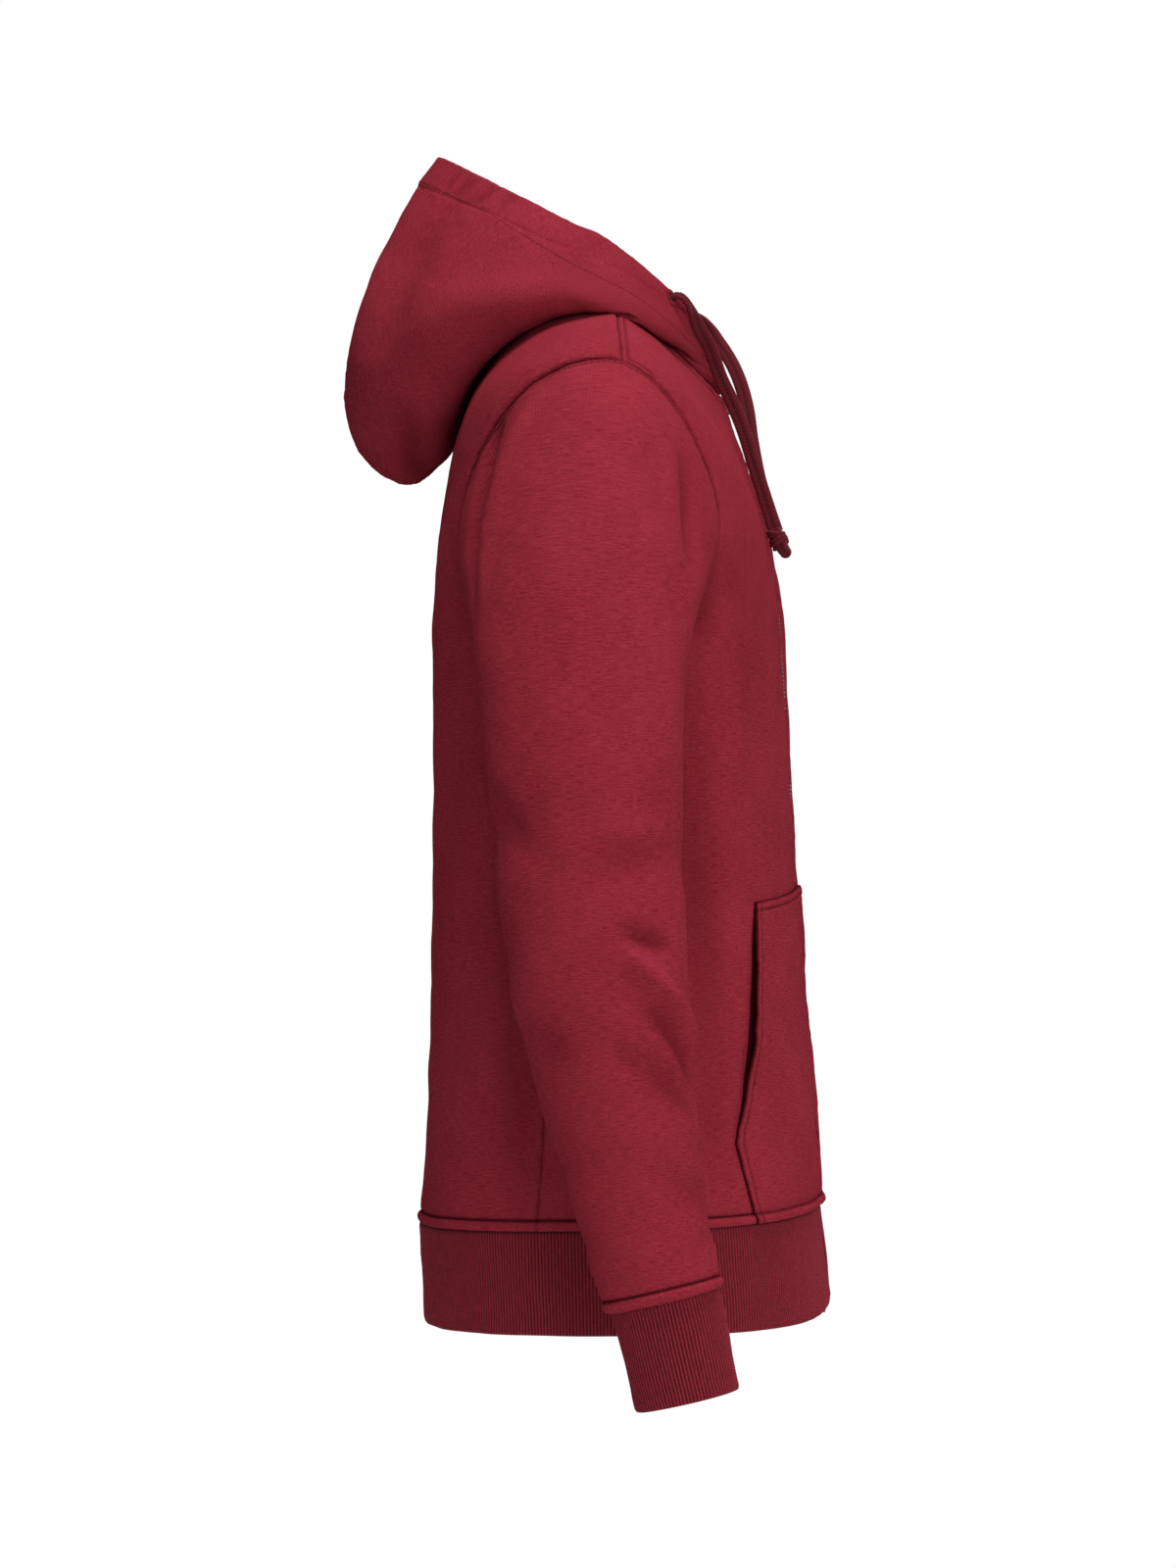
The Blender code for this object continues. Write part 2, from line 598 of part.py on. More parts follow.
# ---------------------------------------------------------------- ribbed bands
def ribbed_band(name, outer_rows, inner_rows, finish, tube):
    """A band whose outer points stand up in ribs over a plain inside."""
    ribbed, plain = outer_rows.shape[1], inner_rows.shape[1]
    points = np.concatenate([outer_rows.reshape(-1, 3), inner_rows.reshape(-1, 3)])
    behind, each = 2 * ribbed, 2 * RIBS_PER_INNER_FACE
    faces = []
    for j in range(ribbed if tube else ribbed - 1):
        k = (j + 1) % ribbed
        faces.append((j, k, k + ribbed, j + ribbed))
    for j in range(plain if tube else plain - 1):
        k = (j + 1) % plain
        a, b = behind + j, behind + k
        faces.append((a, b, b + plain, a + plain))
        rim = [(j * each + step) % ribbed for step in range(each + 1)]
        faces.append((*rim, b, a))
        faces.append((*(ribbed + i for i in rim), b + plain, a + plain))
    if not tube:
        for j, a in ((0, behind), (ribbed - 1, behind + plain - 1)):
            faces.append((j, j + ribbed, a + plain, a))
    return add_object(name, mesh_of(name, points, faces), finish)


def rib_offsets(count):
    """Half the wall, with every second point raised."""
    return RIB_CLOTH / 2 + RIB_RAISE * (np.arange(count) % 2)


def even_spacing(curve, low, high, count):
    """Values between low and high that lie evenly along a curve."""
    fine = np.linspace(low, high, 2001)
    steps = np.linalg.norm(np.diff(curve(fine), axis=0), axis=1)
    length = np.concatenate([[0], np.cumsum(steps)])
    return np.interp(np.linspace(0, length[-1], count), length, fine), length[-1]


def rib_count(length, pitch):
    """Ribs along a band, in whole groups for the faces of its inside."""
    return int(round(length / pitch / RIBS_PER_INNER_FACE)) * RIBS_PER_INNER_FACE


def make_hem(finish):
    """The ribbed band at the foot, one piece from one side of the zip round to the other."""
    foot = HEM[-1].down
    start = float(centre_front(0, HEM))
    _, length = even_spacing(lambda a: hem_band(a, foot / 2), start, 360 - start, 2)
    ribs = rib_count(length, RIB_PITCH_HEM)
    angles, _ = even_spacing(lambda a: hem_band(a, foot / 2), start, 360 - start, 2 * ribs + 1)
    inner_angles = angles[:: 2 * RIBS_PER_INNER_FACE]
    down = np.array([[0.0], [float(foot)]])
    outer = hem_band(angles, down) + outward(hem_band, angles, down) * rib_offsets(
        len(angles))[None, :, None]
    inner = hem_band(inner_angles, down) - outward(hem_band, inner_angles, down) * RIB_CLOTH / 2
    outer[0, :, 2] -= SEAM_GAP / 2
    inner[0, :, 2] -= SEAM_GAP / 2
    ribbed_band("hem_rib", outer, inner, finish, tube=False)


def make_cuffs(finish):
    foot = CUFF[-1].along
    line = tube_frame(CUFF, np.array(float(foot)))[0] - tube_frame(CUFF, np.array(0.0))[0]

    def ring(turn):
        return tube_point(CUFF, turn, foot / 2)

    _, length = even_spacing(ring, 0, 360, 2)
    ribs = rib_count(length, RIB_PITCH_CUFF)
    turns = even_spacing(ring, 0, 360, 2 * ribs + 1)[0][:-1]
    inner_turns = turns[:: 2 * RIBS_PER_INNER_FACE]
    along = np.array([[0.0], [float(foot)]])

    def out(turn):
        points = tube_point(CUFF, turn, along)
        tangent = tube_point(CUFF, turn + 1, along) - tube_point(CUFF, turn - 1, along)
        return points, unit(np.cross(line, tangent))

    points, directions = out(turns)
    outer = points + directions * rib_offsets(len(turns))[None, :, None]
    inner_points, inner_directions = out(inner_turns)
    inner = inner_points - inner_directions * RIB_CLOTH / 2
    for grid in (outer, inner):
        grid[0] += unit(line) * SEAM_GAP / 2
    for side, word in ((-1, "right"), (1, "left")):
        ribbed_band(f"cuff_{word}", mirrored(outer, side), mirrored(inner, side), finish, True)


# ---------------------------------------------------------------- the hood
def rest_on_body(points, clearance):
    """Points moved out, where they need it, so that they lie on the body cloth."""
    angle = np.arange(0, 360, 4.0)[None, :]
    down = np.arange(0, BODY_REACH, 6.0)[:, None]
    cloth = torso(angle, down)
    out = outward(torso, angle, down)
    cloth, out = cloth.reshape(-1, 3), out.reshape(-1, 3)
    flat = points.reshape(-1, 3)
    nearest = np.argmin(np.linalg.norm(flat[:, None] - cloth[None], axis=-1), axis=1)
    height = np.sum((flat - cloth[nearest]) * out[nearest], axis=-1)
    lift = np.maximum(clearance.reshape(-1) - height, 0)
    return (flat + out[nearest] * lift[:, None]).reshape(points.shape)


def hood_wall(angle, up, thick=HOOD_CLOTH):
    """Outer and inner points of the hood, which starts square to the yoke at the collar seam."""
    angle, up = np.broadcast_arrays(angle, up)
    middle = hood(angle, up)
    free = np.clip((up - HOOD_SQUARE) / HOOD_RESTS_OVER, 0, 1)
    clearance = np.where(up > HOOD_SQUARE, (thick + FLEECE) / 2 + HOOD_REST * free, -np.inf)
    middle = rest_on_body(middle, clearance)
    out = -unit(np.cross(np.gradient(middle, axis=1), np.gradient(middle, axis=0)))
    at_seam = outward(torso, angle, np.full_like(up, 1.0))
    share = np.clip(up / HOOD_SQUARE, 0, 1)[..., None]
    out = unit(at_seam * (1 - share) + out * share)
    lift = fold_lift("hood", hood, middle) * np.clip(up / HOOD_FOLDS_FROM, 0, 1)
    middle = middle + out * lift[..., None]
    return middle + out * thick / 2, middle - out * thick / 2


def neck_angles():
    """The angles of the body panels' points along the collar seam, all the way round."""
    front = front_grid()[0][0]
    back = np.linspace(NECK_POINT_ANGLE, 360 - NECK_POINT_ANGLE, BACK_COLUMNS + 1)
    return np.concatenate([front, back[1:-1], 360 - front[::-1]])


def hood_grid(rows, seam):
    """Outer and inner points of the hood. Its columns leave the seam's angles and spread evenly."""
    up = np.asarray(rows, float)[:, None]
    share = np.linspace(0, 1, len(seam))[None, :]
    start = centre_front(up, HOOD, HOOD_EDGE)
    even = start + (360 - 2 * start) * share
    loose = np.clip(up / HOOD_ROWS[6], 0, 1)
    return hood_wall(seam * (1 - loose) + even * loose, up)


def make_hood(finish):
    """Two hood panels that meet in the seam over the middle, from the collar to the rim."""
    outer, inner = hood_grid(HOOD_ROWS, neck_angles())
    middle = outer.shape[1] // 2
    for part, word, edges in (
        (slice(0, middle + 1), "right", "top end"),
        (slice(middle, None), "left", "top start"),
    ):
        half_outer, half_inner = outer[:, part].copy(), inner[:, part].copy()
        trim(half_outer, half_inner, edges)
        wall(f"hood_{word}", half_outer, half_inner, finish)


# ---------------------------------------------------------------- the zip
def zip_strip(name, low, high, inside, outside, finish):
    """A strip down the centre front, between two distances from the middle of the front."""
    ends = np.array([low, high])[None, :]
    points, out = [], []
    below = (HEM[-1].down / 2, HEM[-1].down)
    for surface, rows, down in ((torso, TORSO, ZIP_ROWS), (hem_band, HEM, below)):
        down = np.array(down, float)[:, None]
        angle = np.sign(ends) * centre_front(down, rows, np.abs(ends))
        points.append(surface(angle, down))
        out.append(outward(surface, angle, down))
    points, out = np.concatenate(points), np.concatenate(out)
    wall(name, points + out * outside, points + out * inside, finish)


def make_zip(teeth, tape):
    zip_strip("zip_teeth", -ZIP_HALF, ZIP_HALF, -ZIP_THICK / 2, ZIP_THICK / 2, teeth)
    tape_out = -FLEECE / 2 - SEAM_GAP
    for side, word in ((1, "right"), (-1, "left")):
        ends = sorted((side * SEAM_GAP / 2, side * TAPE_WIDTH))
        zip_strip(f"zip_tape_{word}", *ends, tape_out - TAPE_THICK, tape_out, tape)


def slider_frame():
    """A frame on the teeth: X to the wearer's right, Y out of the cloth, Z up the zip."""
    down = np.array(SLIDER_DOWN)
    point = torso(np.array(0.0), down)
    out = unit(outward(torso, np.array(0.0), down) * np.array([0, 1, 1]))
    right = np.array([-1.0, 0, 0])
    up = np.cross(right, out)
    origin = point + out * (ZIP_THICK / 2 + SEAM_GAP)
    axes = Matrix([tuple(right), tuple(out), tuple(up)]).transposed().to_4x4()
    return Matrix.Translation(Vector(origin) * MM) @ axes


def box(name, size, centre, frame, finish, bevel):
    """A bevelled box in a frame, sizes and centre in millimetres along the frame's axes."""
    bpy.ops.mesh.primitive_cube_add(size=1)
    made = bpy.context.object
    made.name = name
    made.data.name = name
    made.data.transform(Matrix.Diagonal((*(s * MM for s in size), 1)))
    made.data.transform(Matrix.Translation(Vector(centre) * MM))
    made.matrix_world = frame
    rounded = made.modifiers.new("rounded", "BEVEL")
    rounded.width = bevel * MM
    rounded.segments = 2
    made.data.materials.append(finish)
    for collection in made.users_collection:
        collection.objects.unlink(made)
    GARMENT.objects.link(made)
    return made


def helper(made):
    """Moves a cutter or joined shape to the hidden collection."""
    for collection in made.users_collection:
        collection.objects.unlink(made)
    CUTTERS.objects.link(made)
    made.hide_render = True
    made.display_type = "WIRE"
    return made


def boolean(target, other, operation):
    made = target.modifiers.new(operation.lower(), "BOOLEAN")
    made.operation = operation
    made.object = other
    return made


def make_slider(finish, frame):
    """The slider's plate, with a wire bail that holds the bar of the pull tab."""
    plate = box("zip_slider", (SLIDER_WIDE, SLIDER_THICK, SLIDER_LONG),
                (0, SLIDER_THICK / 2, 0), frame, finish, PLATE_BEVEL)
    arc = np.radians(np.linspace(0, 180, BAIL_STEPS + 1))
    height = SLIDER_THICK + BAIL_TALL * np.sin(arc)
    height[[0, -1]] = SLIDER_THICK - BAIL_SUNK
    points = [(0, tall, PIVOT_UP + BAIL_LONG * np.cos(turn)) for turn, tall in zip(arc, height)]
    wire = bpy.data.curves.new("bail", "CURVE")
    wire.dimensions = "3D"
    wire.bevel_depth = BAIL_WIRE * MM
    wire.bevel_resolution = 2
    wire.use_fill_caps = True
    spline_points = wire.splines.new("POLY")
    spline_points.points.add(len(points) - 1)
    for place, point in zip(spline_points.points, points):
        place.co = (*(Vector(point) * MM), 1)
    curve = bpy.data.objects.new("bail_curve", wire)
    GARMENT.objects.link(curve)
    curve.matrix_world = frame
    bail = mesh_from(curve, "bail")
    helper(bail)
    boolean(plate, bail, "UNION")
    return plate


def mesh_from(curve, name):
    """A closed mesh object in place of a curve object."""
    bpy.context.view_layer.update()
    evaluated = curve.evaluated_get(bpy.context.evaluated_depsgraph_get())
    mesh = bpy.data.meshes.new_from_object(evaluated)
    shape = bmesh.new()
    shape.from_mesh(mesh)
    bmesh.ops.remove_doubles(shape, verts=shape.verts, dist=0.00001)
    bmesh.ops.recalc_face_normals(shape, faces=shape.faces)
    shape.to_mesh(mesh)
    shape.free()
    made = bpy.data.objects.new(name, mesh)
    made.matrix_world = curve.matrix_world
    GARMENT.objects.link(made)
    bpy.data.objects.remove(curve)
    return made


def make_tab(finish, frame):
    """The pull tab, with its origin on the bar that turns in the bail."""
    pivot = frame @ Matrix.Translation(Vector((0, SLIDER_THICK + PIVOT_OUT, PIVOT_UP)) * MM)
    tab = box("zip_pull", (TAB_WIDE, TAB_THICK, TAB_LONG),
              (0, 0, BAR_RADIUS - TAB_LONG / 2), pivot, finish, TAB_BEVEL)
    slot = box("tab_slot", (TAB_SLOT_WIDE, 3 * TAB_THICK, TAB_SLOT_LONG),
               (0, 0, -BAR_RADIUS - TAB_SLOT_LONG / 2), pivot, finish, SLOT_BEVEL)
    hole = box("tab_hole", (TAB_SLOT_WIDE, 3 * TAB_THICK, TAB_SLOT_WIDE),
               (0, 0, BAR_RADIUS - TAB_LONG + TAB_HOLE_UP), pivot, finish, HOLE_BEVEL)
    for cutter in (slot, hole):
        boolean(tab, helper(cutter), "DIFFERENCE")
    return tab


# ---------------------------------------------------------------- cords and eyelets
def make_cord(name, route, finish):
    """A drawcord as a plain tube on a smooth line through its route."""
    key = np.arange(len(route), dtype=float)
    fine = np.linspace(0, key[-1], CORD_POINTS)
    line = np.stack([spline(key, column(route, axis), fine) for axis in "xyz"], axis=-1)
    curve = bpy.data.curves.new(name, "CURVE")
    curve.dimensions = "3D"
    curve.bevel_depth = CORD_THICK / 2 * MM
    curve.bevel_resolution = 2
    curve.use_fill_caps = True
    places = curve.splines.new("POLY")
    places.points.add(len(line) - 1)
    for place, point in zip(places.points, line):
        place.co = (*(Vector(point) * MM), 1)
    curve.materials.append(finish)
    made = bpy.data.objects.new(name, curve)
    GARMENT.objects.link(made)
    return line


def make_knot(name, line, finish):
    """The knot at a cord's end, below the last point of its line."""
    fall = unit(line[-1] - line[-2])
    centre = line[-1] + fall * (KNOT_LONG / 2 + KNOT_GAP)
    shape = bmesh.new()
    bmesh.ops.create_uvsphere(shape, u_segments=12, v_segments=8, radius=0.5)
    bmesh.ops.scale(shape, vec=Vector((KNOT_WIDE, KNOT_DEEP, KNOT_LONG)) * MM, verts=shape.verts)
    mesh = bpy.data.meshes.new(name)
    shape.to_mesh(mesh)
    shape.free()
    made = add_object(name, mesh, finish)
    made.matrix_world = Matrix.Translation(Vector(centre) * MM) @ Vector(-fall).to_track_quat(
        "Z", "Y").to_matrix().to_4x4()
    return made


def make_eyelets(finish):
    """A stitched ring on the casing on each side, where the drawcord comes out."""
    near = EYELET_SPAN * np.array([-1, 0, 1])
    turns = EYELET_ANGLE + near
    rows = EYELET_UP + near[:, None]
    for word, angles in (("right", turns), ("left", 360 - turns[::-1])):
        outer, inner = hood_wall(angles, rows)
        out = unit(outer - inner)[1, 1]
        centre = outer[1, 1] + out * (EYELET_THREAD + 2 * SEAM_GAP)
        bpy.ops.mesh.primitive_torus_add(
            major_radius=EYELET_RADIUS * MM, minor_radius=EYELET_THREAD * MM,
            major_segments=14, minor_segments=5)
        made = bpy.context.object
        made.name = f"eyelet_{word}"
        made.data.name = made.name
        made.data.materials.append(finish)
        for collection in made.users_collection:
            collection.objects.unlink(made)
        GARMENT.objects.link(made)
        turned = Vector(out).to_track_quat("Z", "Y").to_matrix().to_4x4()
        made.matrix_world = Matrix.Translation(Vector(centre) * MM) @ turned


# ---------------------------------------------------------------- assembly
for old in list(bpy.data.objects):
    bpy.data.objects.remove(old)
GARMENT = bpy.data.collections.new("zip_up_hoodie")
CUTTERS = bpy.data.collections.new("cutters")
bpy.context.scene.collection.children.link(GARMENT)
bpy.context.scene.collection.children.link(CUTTERS)

cloth = material("fleece", CLOTH_RED)
rib = material("rib_knit", RIB_RED)
cord_red = material("drawcord", CORD_RED, 0.85)
tape_red = material("zip_tape", TAPE_RED, 0.9)
coil_red = material("zip_coil", COIL_RED, 0.6)
metal = material("zip_metal", METAL_GREY, 0.3, 1.0)

make_fronts(cloth)
make_back(cloth)
make_pockets(cloth)
make_sleeves(cloth)
make_cuffs(rib)
make_hem(rib)
make_hood(cloth)
make_zip(coil_red, tape_red)
on_teeth = slider_frame()
make_slider(metal, on_teeth)
make_tab(metal, on_teeth)
make_eyelets(cord_red)
for word, route in (("right", CORD_RIGHT), ("left", CORD_LEFT)):
    cord_line = make_cord(f"cord_{word}", route, cord_red)
    make_knot(f"knot_{word}", cord_line, cord_red)
bpy.context.view_layer.update()
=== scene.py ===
"""Zip-up hooded sweatshirt in deep red brushed fleece, worn shape with nobody inside.

Every piece of cloth here is a finer shell that stands for its solid in the frame. Its tables
are the solid's with small changes, the largest at the armhole, which reaches up to 24 mm
further behind at its top. Tables and sizes are in millimetres, and meshes are scaled to metres
as they are made. The front faces -Y, and the wearer's right side is at -X.
"""

from collections import namedtuple

import bpy
import numpy as np
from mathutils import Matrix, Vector, kdtree

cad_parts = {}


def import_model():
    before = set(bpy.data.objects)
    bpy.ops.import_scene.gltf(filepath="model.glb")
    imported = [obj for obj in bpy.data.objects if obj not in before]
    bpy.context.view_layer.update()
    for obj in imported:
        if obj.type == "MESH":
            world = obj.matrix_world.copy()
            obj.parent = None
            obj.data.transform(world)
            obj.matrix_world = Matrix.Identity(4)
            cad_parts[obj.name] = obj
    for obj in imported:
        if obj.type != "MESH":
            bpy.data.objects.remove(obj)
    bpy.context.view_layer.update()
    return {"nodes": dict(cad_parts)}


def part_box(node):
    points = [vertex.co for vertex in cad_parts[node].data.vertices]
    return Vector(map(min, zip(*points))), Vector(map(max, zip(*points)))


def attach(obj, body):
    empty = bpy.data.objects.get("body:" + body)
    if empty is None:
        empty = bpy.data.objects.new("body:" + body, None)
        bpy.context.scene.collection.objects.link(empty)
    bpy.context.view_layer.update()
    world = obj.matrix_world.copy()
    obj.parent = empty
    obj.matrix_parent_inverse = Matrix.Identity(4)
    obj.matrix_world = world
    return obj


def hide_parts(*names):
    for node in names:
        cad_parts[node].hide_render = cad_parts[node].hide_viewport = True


MM = 0.001

# ---------------------------------------------------------------- driving sizes, in millimetres
FLEECE = 2.0  # wall of the body and sleeve cloth
HOOD_CLOTH = 3.0  # the hood is cut double
RIB_CLOTH = 2.2  # wall of the ribbed bands, without the raised ribs
GRAIN = 4.9  # the usual spacing of a shell's points
SLEEVE_GRAIN = 4.3
HOOD_GRAIN = 3.1
FINE_STEP = 0.8  # between the points of a line that others are measured from
RIDGE_TALL = 6.6  # the folded seam allowance over a rib band
RIDGE_RAISE = 1.9
RIDGE_FULL = 0.6  # its half wave is raised to this power
ZIP_HALF = 2.7  # half the width of the closed row of teeth
SEAM_GAP = 0.3  # between pieces that are sewn together
RIB_PITCH = 2.25
HEM_RISES = ((4.5, 45.0), (4.0, 10.0))  # how far the band's foot rises to the zip, and how wide
RIB_RAISE = 0.75
RIB_POINTS = 5  # points across one rib
RIB_ROWS = 6.0
RIB_EDGE_STEPS = (0, 0.3, 1.0, 2.2, 4.0)

# Distances from a sewn or cut edge at which a shell has points, so that its edge is round.
EDGE_STEPS = (0, 0.12, 0.5, 1.1, 2.0, 3.0, 4.0, 4.8, 5.5, 6.2, 7.2, 9.0)

# Distances from a seam to the topstitches beside it.
NECK_STITCH = 8.5
FRONT_STITCH = 6.0
POCKET_STITCH = 5.5
ARMHOLE_STITCH = 4.5
SHOULDER_STITCH = 4.0
HOOD_STITCH = 4.0

# A groove is a line where cloth is drawn down: how deep and wide, how dark its painted shade, and how
# wide that shade.
STITCH_GROOVE = (0.8, 1.0, 0.6, 0.8)
CASING_GROOVE = (0.6, 1.2, 0.1, 0.8)
SEAM_WIDE = 1.5
# the width of the painted shade along a seam
SEAM_SHADE_WIDE = 1.1
PUCKERS_REACH = 11.0

# Beside a seam the cloth swells: how high, how far off and how wide.
SWELL_HIGH = 0.4
SWELL_OFF = 4.0
SWELL_WIDE = 3.0

STITCH_LONG = 2.9
STITCH_GAP = 0.9
STITCH_THICK = 0.75
STITCH_PROUD = 0.1

CORD_WIDE = 9.8
CORD_THICK = 3.4
CORD_TURNS = (8.0, 55.0)  # over this stretch a cord turns from flat on the hood to edge forward
CORD_NARROWS = ((0, 5, 20), (0.5, 0.62, 1.0))  # distances from the eyelet, and shares of the width there

# A surface's slopes are taken over this many degrees and millimetres each way.
SLOPE_TURN = 0.5
SLOPE_DOWN = 1.0

# Millimetres of cloth for each degree round a piece, in its flat map.
BODY_DEGREE = 2.9
HOOD_DEGREE = 2.4
SLEEVE_DEGREE = 1.0
SLEEVE_MAP_DOWN = 700  # where the biceps lies in the flat map
POCKET_MAP_ACROSS = 37  # moves the pocket's grain off the front's

SIDES = ((-1, "right"), (1, "left"))

# What a panel's cut measures where it shows, in metres, and how the worn cloth is held.
Cut = namedtuple("Cut", "wide long area held")

BACK_CUT = Cut(0.56, 0.7, 0.33, "hung")
FRONT_CUT = Cut(0.3, 0.69, 0.165, "hung")
POCKET_CUT = Cut(0.165, 0.225, 0.032, "stretched")
SLEEVE_CUT = Cut(0.4, 0.6, 0.175, "hung")
HOOD_CUT = Cut(0.3, 0.43, 0.08, "draped")

# ---------------------------------------------------------------- tables
Ring = namedtuple(
    "Ring", "name down z_front z_side z_back half_width y_front y_side y_back square bow_front bow_back")

TORSO = [
    Ring("neck", 0, -44, 8, 2, 86, -64, 0, 58, 2.0, 1.2, 2.0),
    Ring("collar", 28, -66, 4, -10, 114, -72, 1, 82, 2.0, 1.35, 2.0),
    Ring("yoke", 75, -100, -11, -38, 162, -83, 2, 99, 2.15, 1.7, 2.0),
    Ring("shoulder tip", 130, -136, -34, -78, 211, -95, 3, 113, 2.35, 2.0, 2.0),
    Ring("sleeve head", 185, -165, -95, -120, 215, -101, 4, 122, 2.45, 2.0, 2.0),
    Ring("mid armhole", 245, -192, -156, -165, 211, -105, 4, 129.5, 2.5, 2.0, 2.0),
    Ring("armpit", 305, -222, -215, -215, 204, -107, 4, 131.5, 2.5, 2.0, 2.0),
    Ring("chest", 385, -300, -297, -297, 199, -112, 4, 131, 2.5, 2.0, 2.0),
    Ring("waist", 500, -415, -412, -412, 190, -118, 4, 131.5, 2.45, 2.0, 2.0),
    Ring("hip", 615, -530, -530, -532, 186, -127, 3, 134.5, 2.4, 2.0, 2.0),
    Ring("hem seam", 692, -603, -608, -614, 184, -132, 3, 140.5, 2.4, 2.0, 2.0),
]
HEM = [
    Ring("hem seam", 0, -603, -608, -614, 184, -132, 3, 140.5, 2.4, 2.0, 2.0),
    Ring("hem edge", 74, -676, -677.5, -682, 181, -139, 2, 136, 2.4, 2.0, 2.0),
]
HOOD = [
    Ring("neck", 0, -44, 8, 2, 86, -64, 0, 58, 2.0, 1.2, 2.0),
    Ring("stand", 16, -40, 20, 19, 90, -62.5, 1, 64, 2.0, 1.2, 2.0),
    Ring("roll", 34, -36.5, 26, 31, 97, -61.5, 4, 77, 2.0, 1.2, 2.0),
    Ring("inner fall", 56, -33, 20, 22, 106, -60.5, 8, 94, 2.05, 1.2, 2.0),
    Ring("back fall", 92, -29, 11, -18, 113, -59.5, 11, 107, 2.1, 1.2, 2.1),
    Ring("under", 128, -25.5, 6, -55, 119, -58.5, 14, 117, 2.15, 1.2, 2.3),
    Ring("lobe in", 160, -22, 5, -88, 125, -57.5, 17, 129, 2.2, 1.2, 2.5),
    Ring("lobe foot", 192, -18.5, 6, -104, 131, -56.5, 22, 153, 2.2, 1.2, 2.5),
    Ring("lobe back", 228, -15, 11, -82, 136, -55.8, 28, 184, 2.2, 1.2, 2.2),
    Ring("lobe side", 262, -11.5, 17, -45, 137, -55.2, 32, 195, 2.2, 1.2, 1.9),
    Ring("outer", 305, -8, 25, 0, 134, -54.6, 33, 189, 2.2, 1.2, 1.6),
    Ring("shoulder of hood", 355, -4, 35, 52, 126, -54, 31, 170, 2.15, 1.25, 1.35),
    Ring("casing", 396, 0, 45, 94, 117, -53.4, 27, 148, 2.1, 1.3, 1.15),
    Ring("rim", 424, 3, 61, 121, 106, -53, 21, 129, 2.05, 1.3, 1.05),
]
HOOD_ROWS = (0, 6, 15, 26, 38, 56, 82, 112, 142, 164, 184, 204, 226, 252, 286, 328, 376, 424)
HOOD_COLUMNS = 72
HOOD_HALF = 240  # round one half, for the spacing of its points
HOOD_OPENS = 1.0  # from the middle to each edge of the opening
HOOD_SQUARE = 14.0  # the hood stands square on the body's cloth up to here
HOOD_FOLDS_OVER = 40.0  # they grow to their full depth over this
HOOD_RUMPLES_OVER = 30.0
HOOD_REST = 1.8  # the room under it, where it lies on the body
HOOD_RESTS_OVER = 50.0
BODY_REACH = 240.0  # how far down the body the hood may lie on it
BODY_STEPS = (4.0, 6.0)  # degrees and millimetres between the places that it is tested on
CASING = 22.0  # from the rim to the stitches that close the drawcord's casing
CASING_HIGH = 0.7  # how far the cord inside it pushes its middle out
CASING_PUCKER = 0.35
CASING_REACH = 12.0  # the width of the puckers along its stitches
CASING_TURNS = ((50, 86, 120), (34.0, 32.0, CASING))  # the same by the angle from the zip

Section = namedtuple("Section", "name along x y z half_out half_deep")

SLEEVE = [
    Section("biceps", 0, -255, 11, -250, 48, 66),
    Section("upper arm", 63, -260, 9, -313, 50, 62),
    Section("above elbow", 126, -264, 5, -376, 50, 60),
    Section("elbow", 190, -268, -2, -439, 49, 56),
    Section("forearm", 254, -271, -12, -502, 46, 50),
    Section("lower arm", 318, -274, -25, -565, 41, 43),
    Section("wrist", 382, -276, -39.5, -628, 36.5, 38.5),
    Section("cuff seam", 398, -276.5, -43, -643, 35.5, 37),
]
CUFF = [
    Section("cuff seam", 0, -276.5, -44, -643, 30, 34.2),
    Section("cuff edge", 67, -277.5, -59.5, -708, 28, 32.5),
]
SLEEVE_HEAD = 150.0  # from the armhole seam to the biceps
SLEEVE_SETTLES = 30.0  # over this it turns from square on the body's cloth to square on its own
SLEEVE_FOLDS_OVER = 9.0
SLEEVE_RUMPLES_OVER = 50.0
SLEEVE_LEAVES = (-0.64, 0.0, -0.48)  # the way it leaves the armhole on the right
SLEEVE_COLUMNS = 128
CUFF_TUCK = 0.35  # the share of the ridge over which the sleeve narrows to the cuff
SLOPE_STEP = 3.0  # the slopes of a tube are taken over this

NECK_POINT_ANGLE = 90.0
SHOULDER_ANGLE = 81.0  # the shoulder seam drifts to the front
ARMPIT_ANGLE = 102.0
HEM_SIDE_ANGLE = 108.0  # the side seam drifts to the back
ARMHOLE_FRONT = 43.0  # how far the oval reaches to the front, in degrees
ARMHOLE_BACK = 42.0
ARMHOLE_FULL = 0.5  # how much further it reaches behind at its top, as a share
ARMHOLE_TOP = 130.0
ARMHOLE_FOOT = 305.0
ARMHOLE_STEPS = 46
SEAM_SHOWS = (0.5, 1.0, 0.32)  # at the shoulder, the armhole and the side

PocketEdge = namedtuple("PocketEdge", "name down angle gape")

POCKET = [
    PocketEdge("top corner", 468, 40.0, 0.0),
    PocketEdge("upper mouth", 500, 42.5, 3.6),
    PocketEdge("mid mouth", 566, 46.5, 5.8),
    PocketEdge("lower mouth", 602, 49.0, 2.6),
    PocketEdge("side corner", 634, 51.5, 0.0),
    PocketEdge("hem seam", 692, 47.0, 0.0),
]
POCKET_TOP_DROP = 10.0  # the top edge falls so far from the zip to its corner
POCKET_MOUTH_SHARE = 0.5  # the share of its width that lifts towards the mouth
POCKET_MOUTH_POWER = 1.5
POCKET_LINE_SHARE = 0.62  # the furthest that its edge may lie towards the front's outer edge

# Widths that the spacing of the columns is worked out from.
POCKET_WIDE = 135.0
SIDE_WIDE = 150.0
BACK_WIDE = 540.0

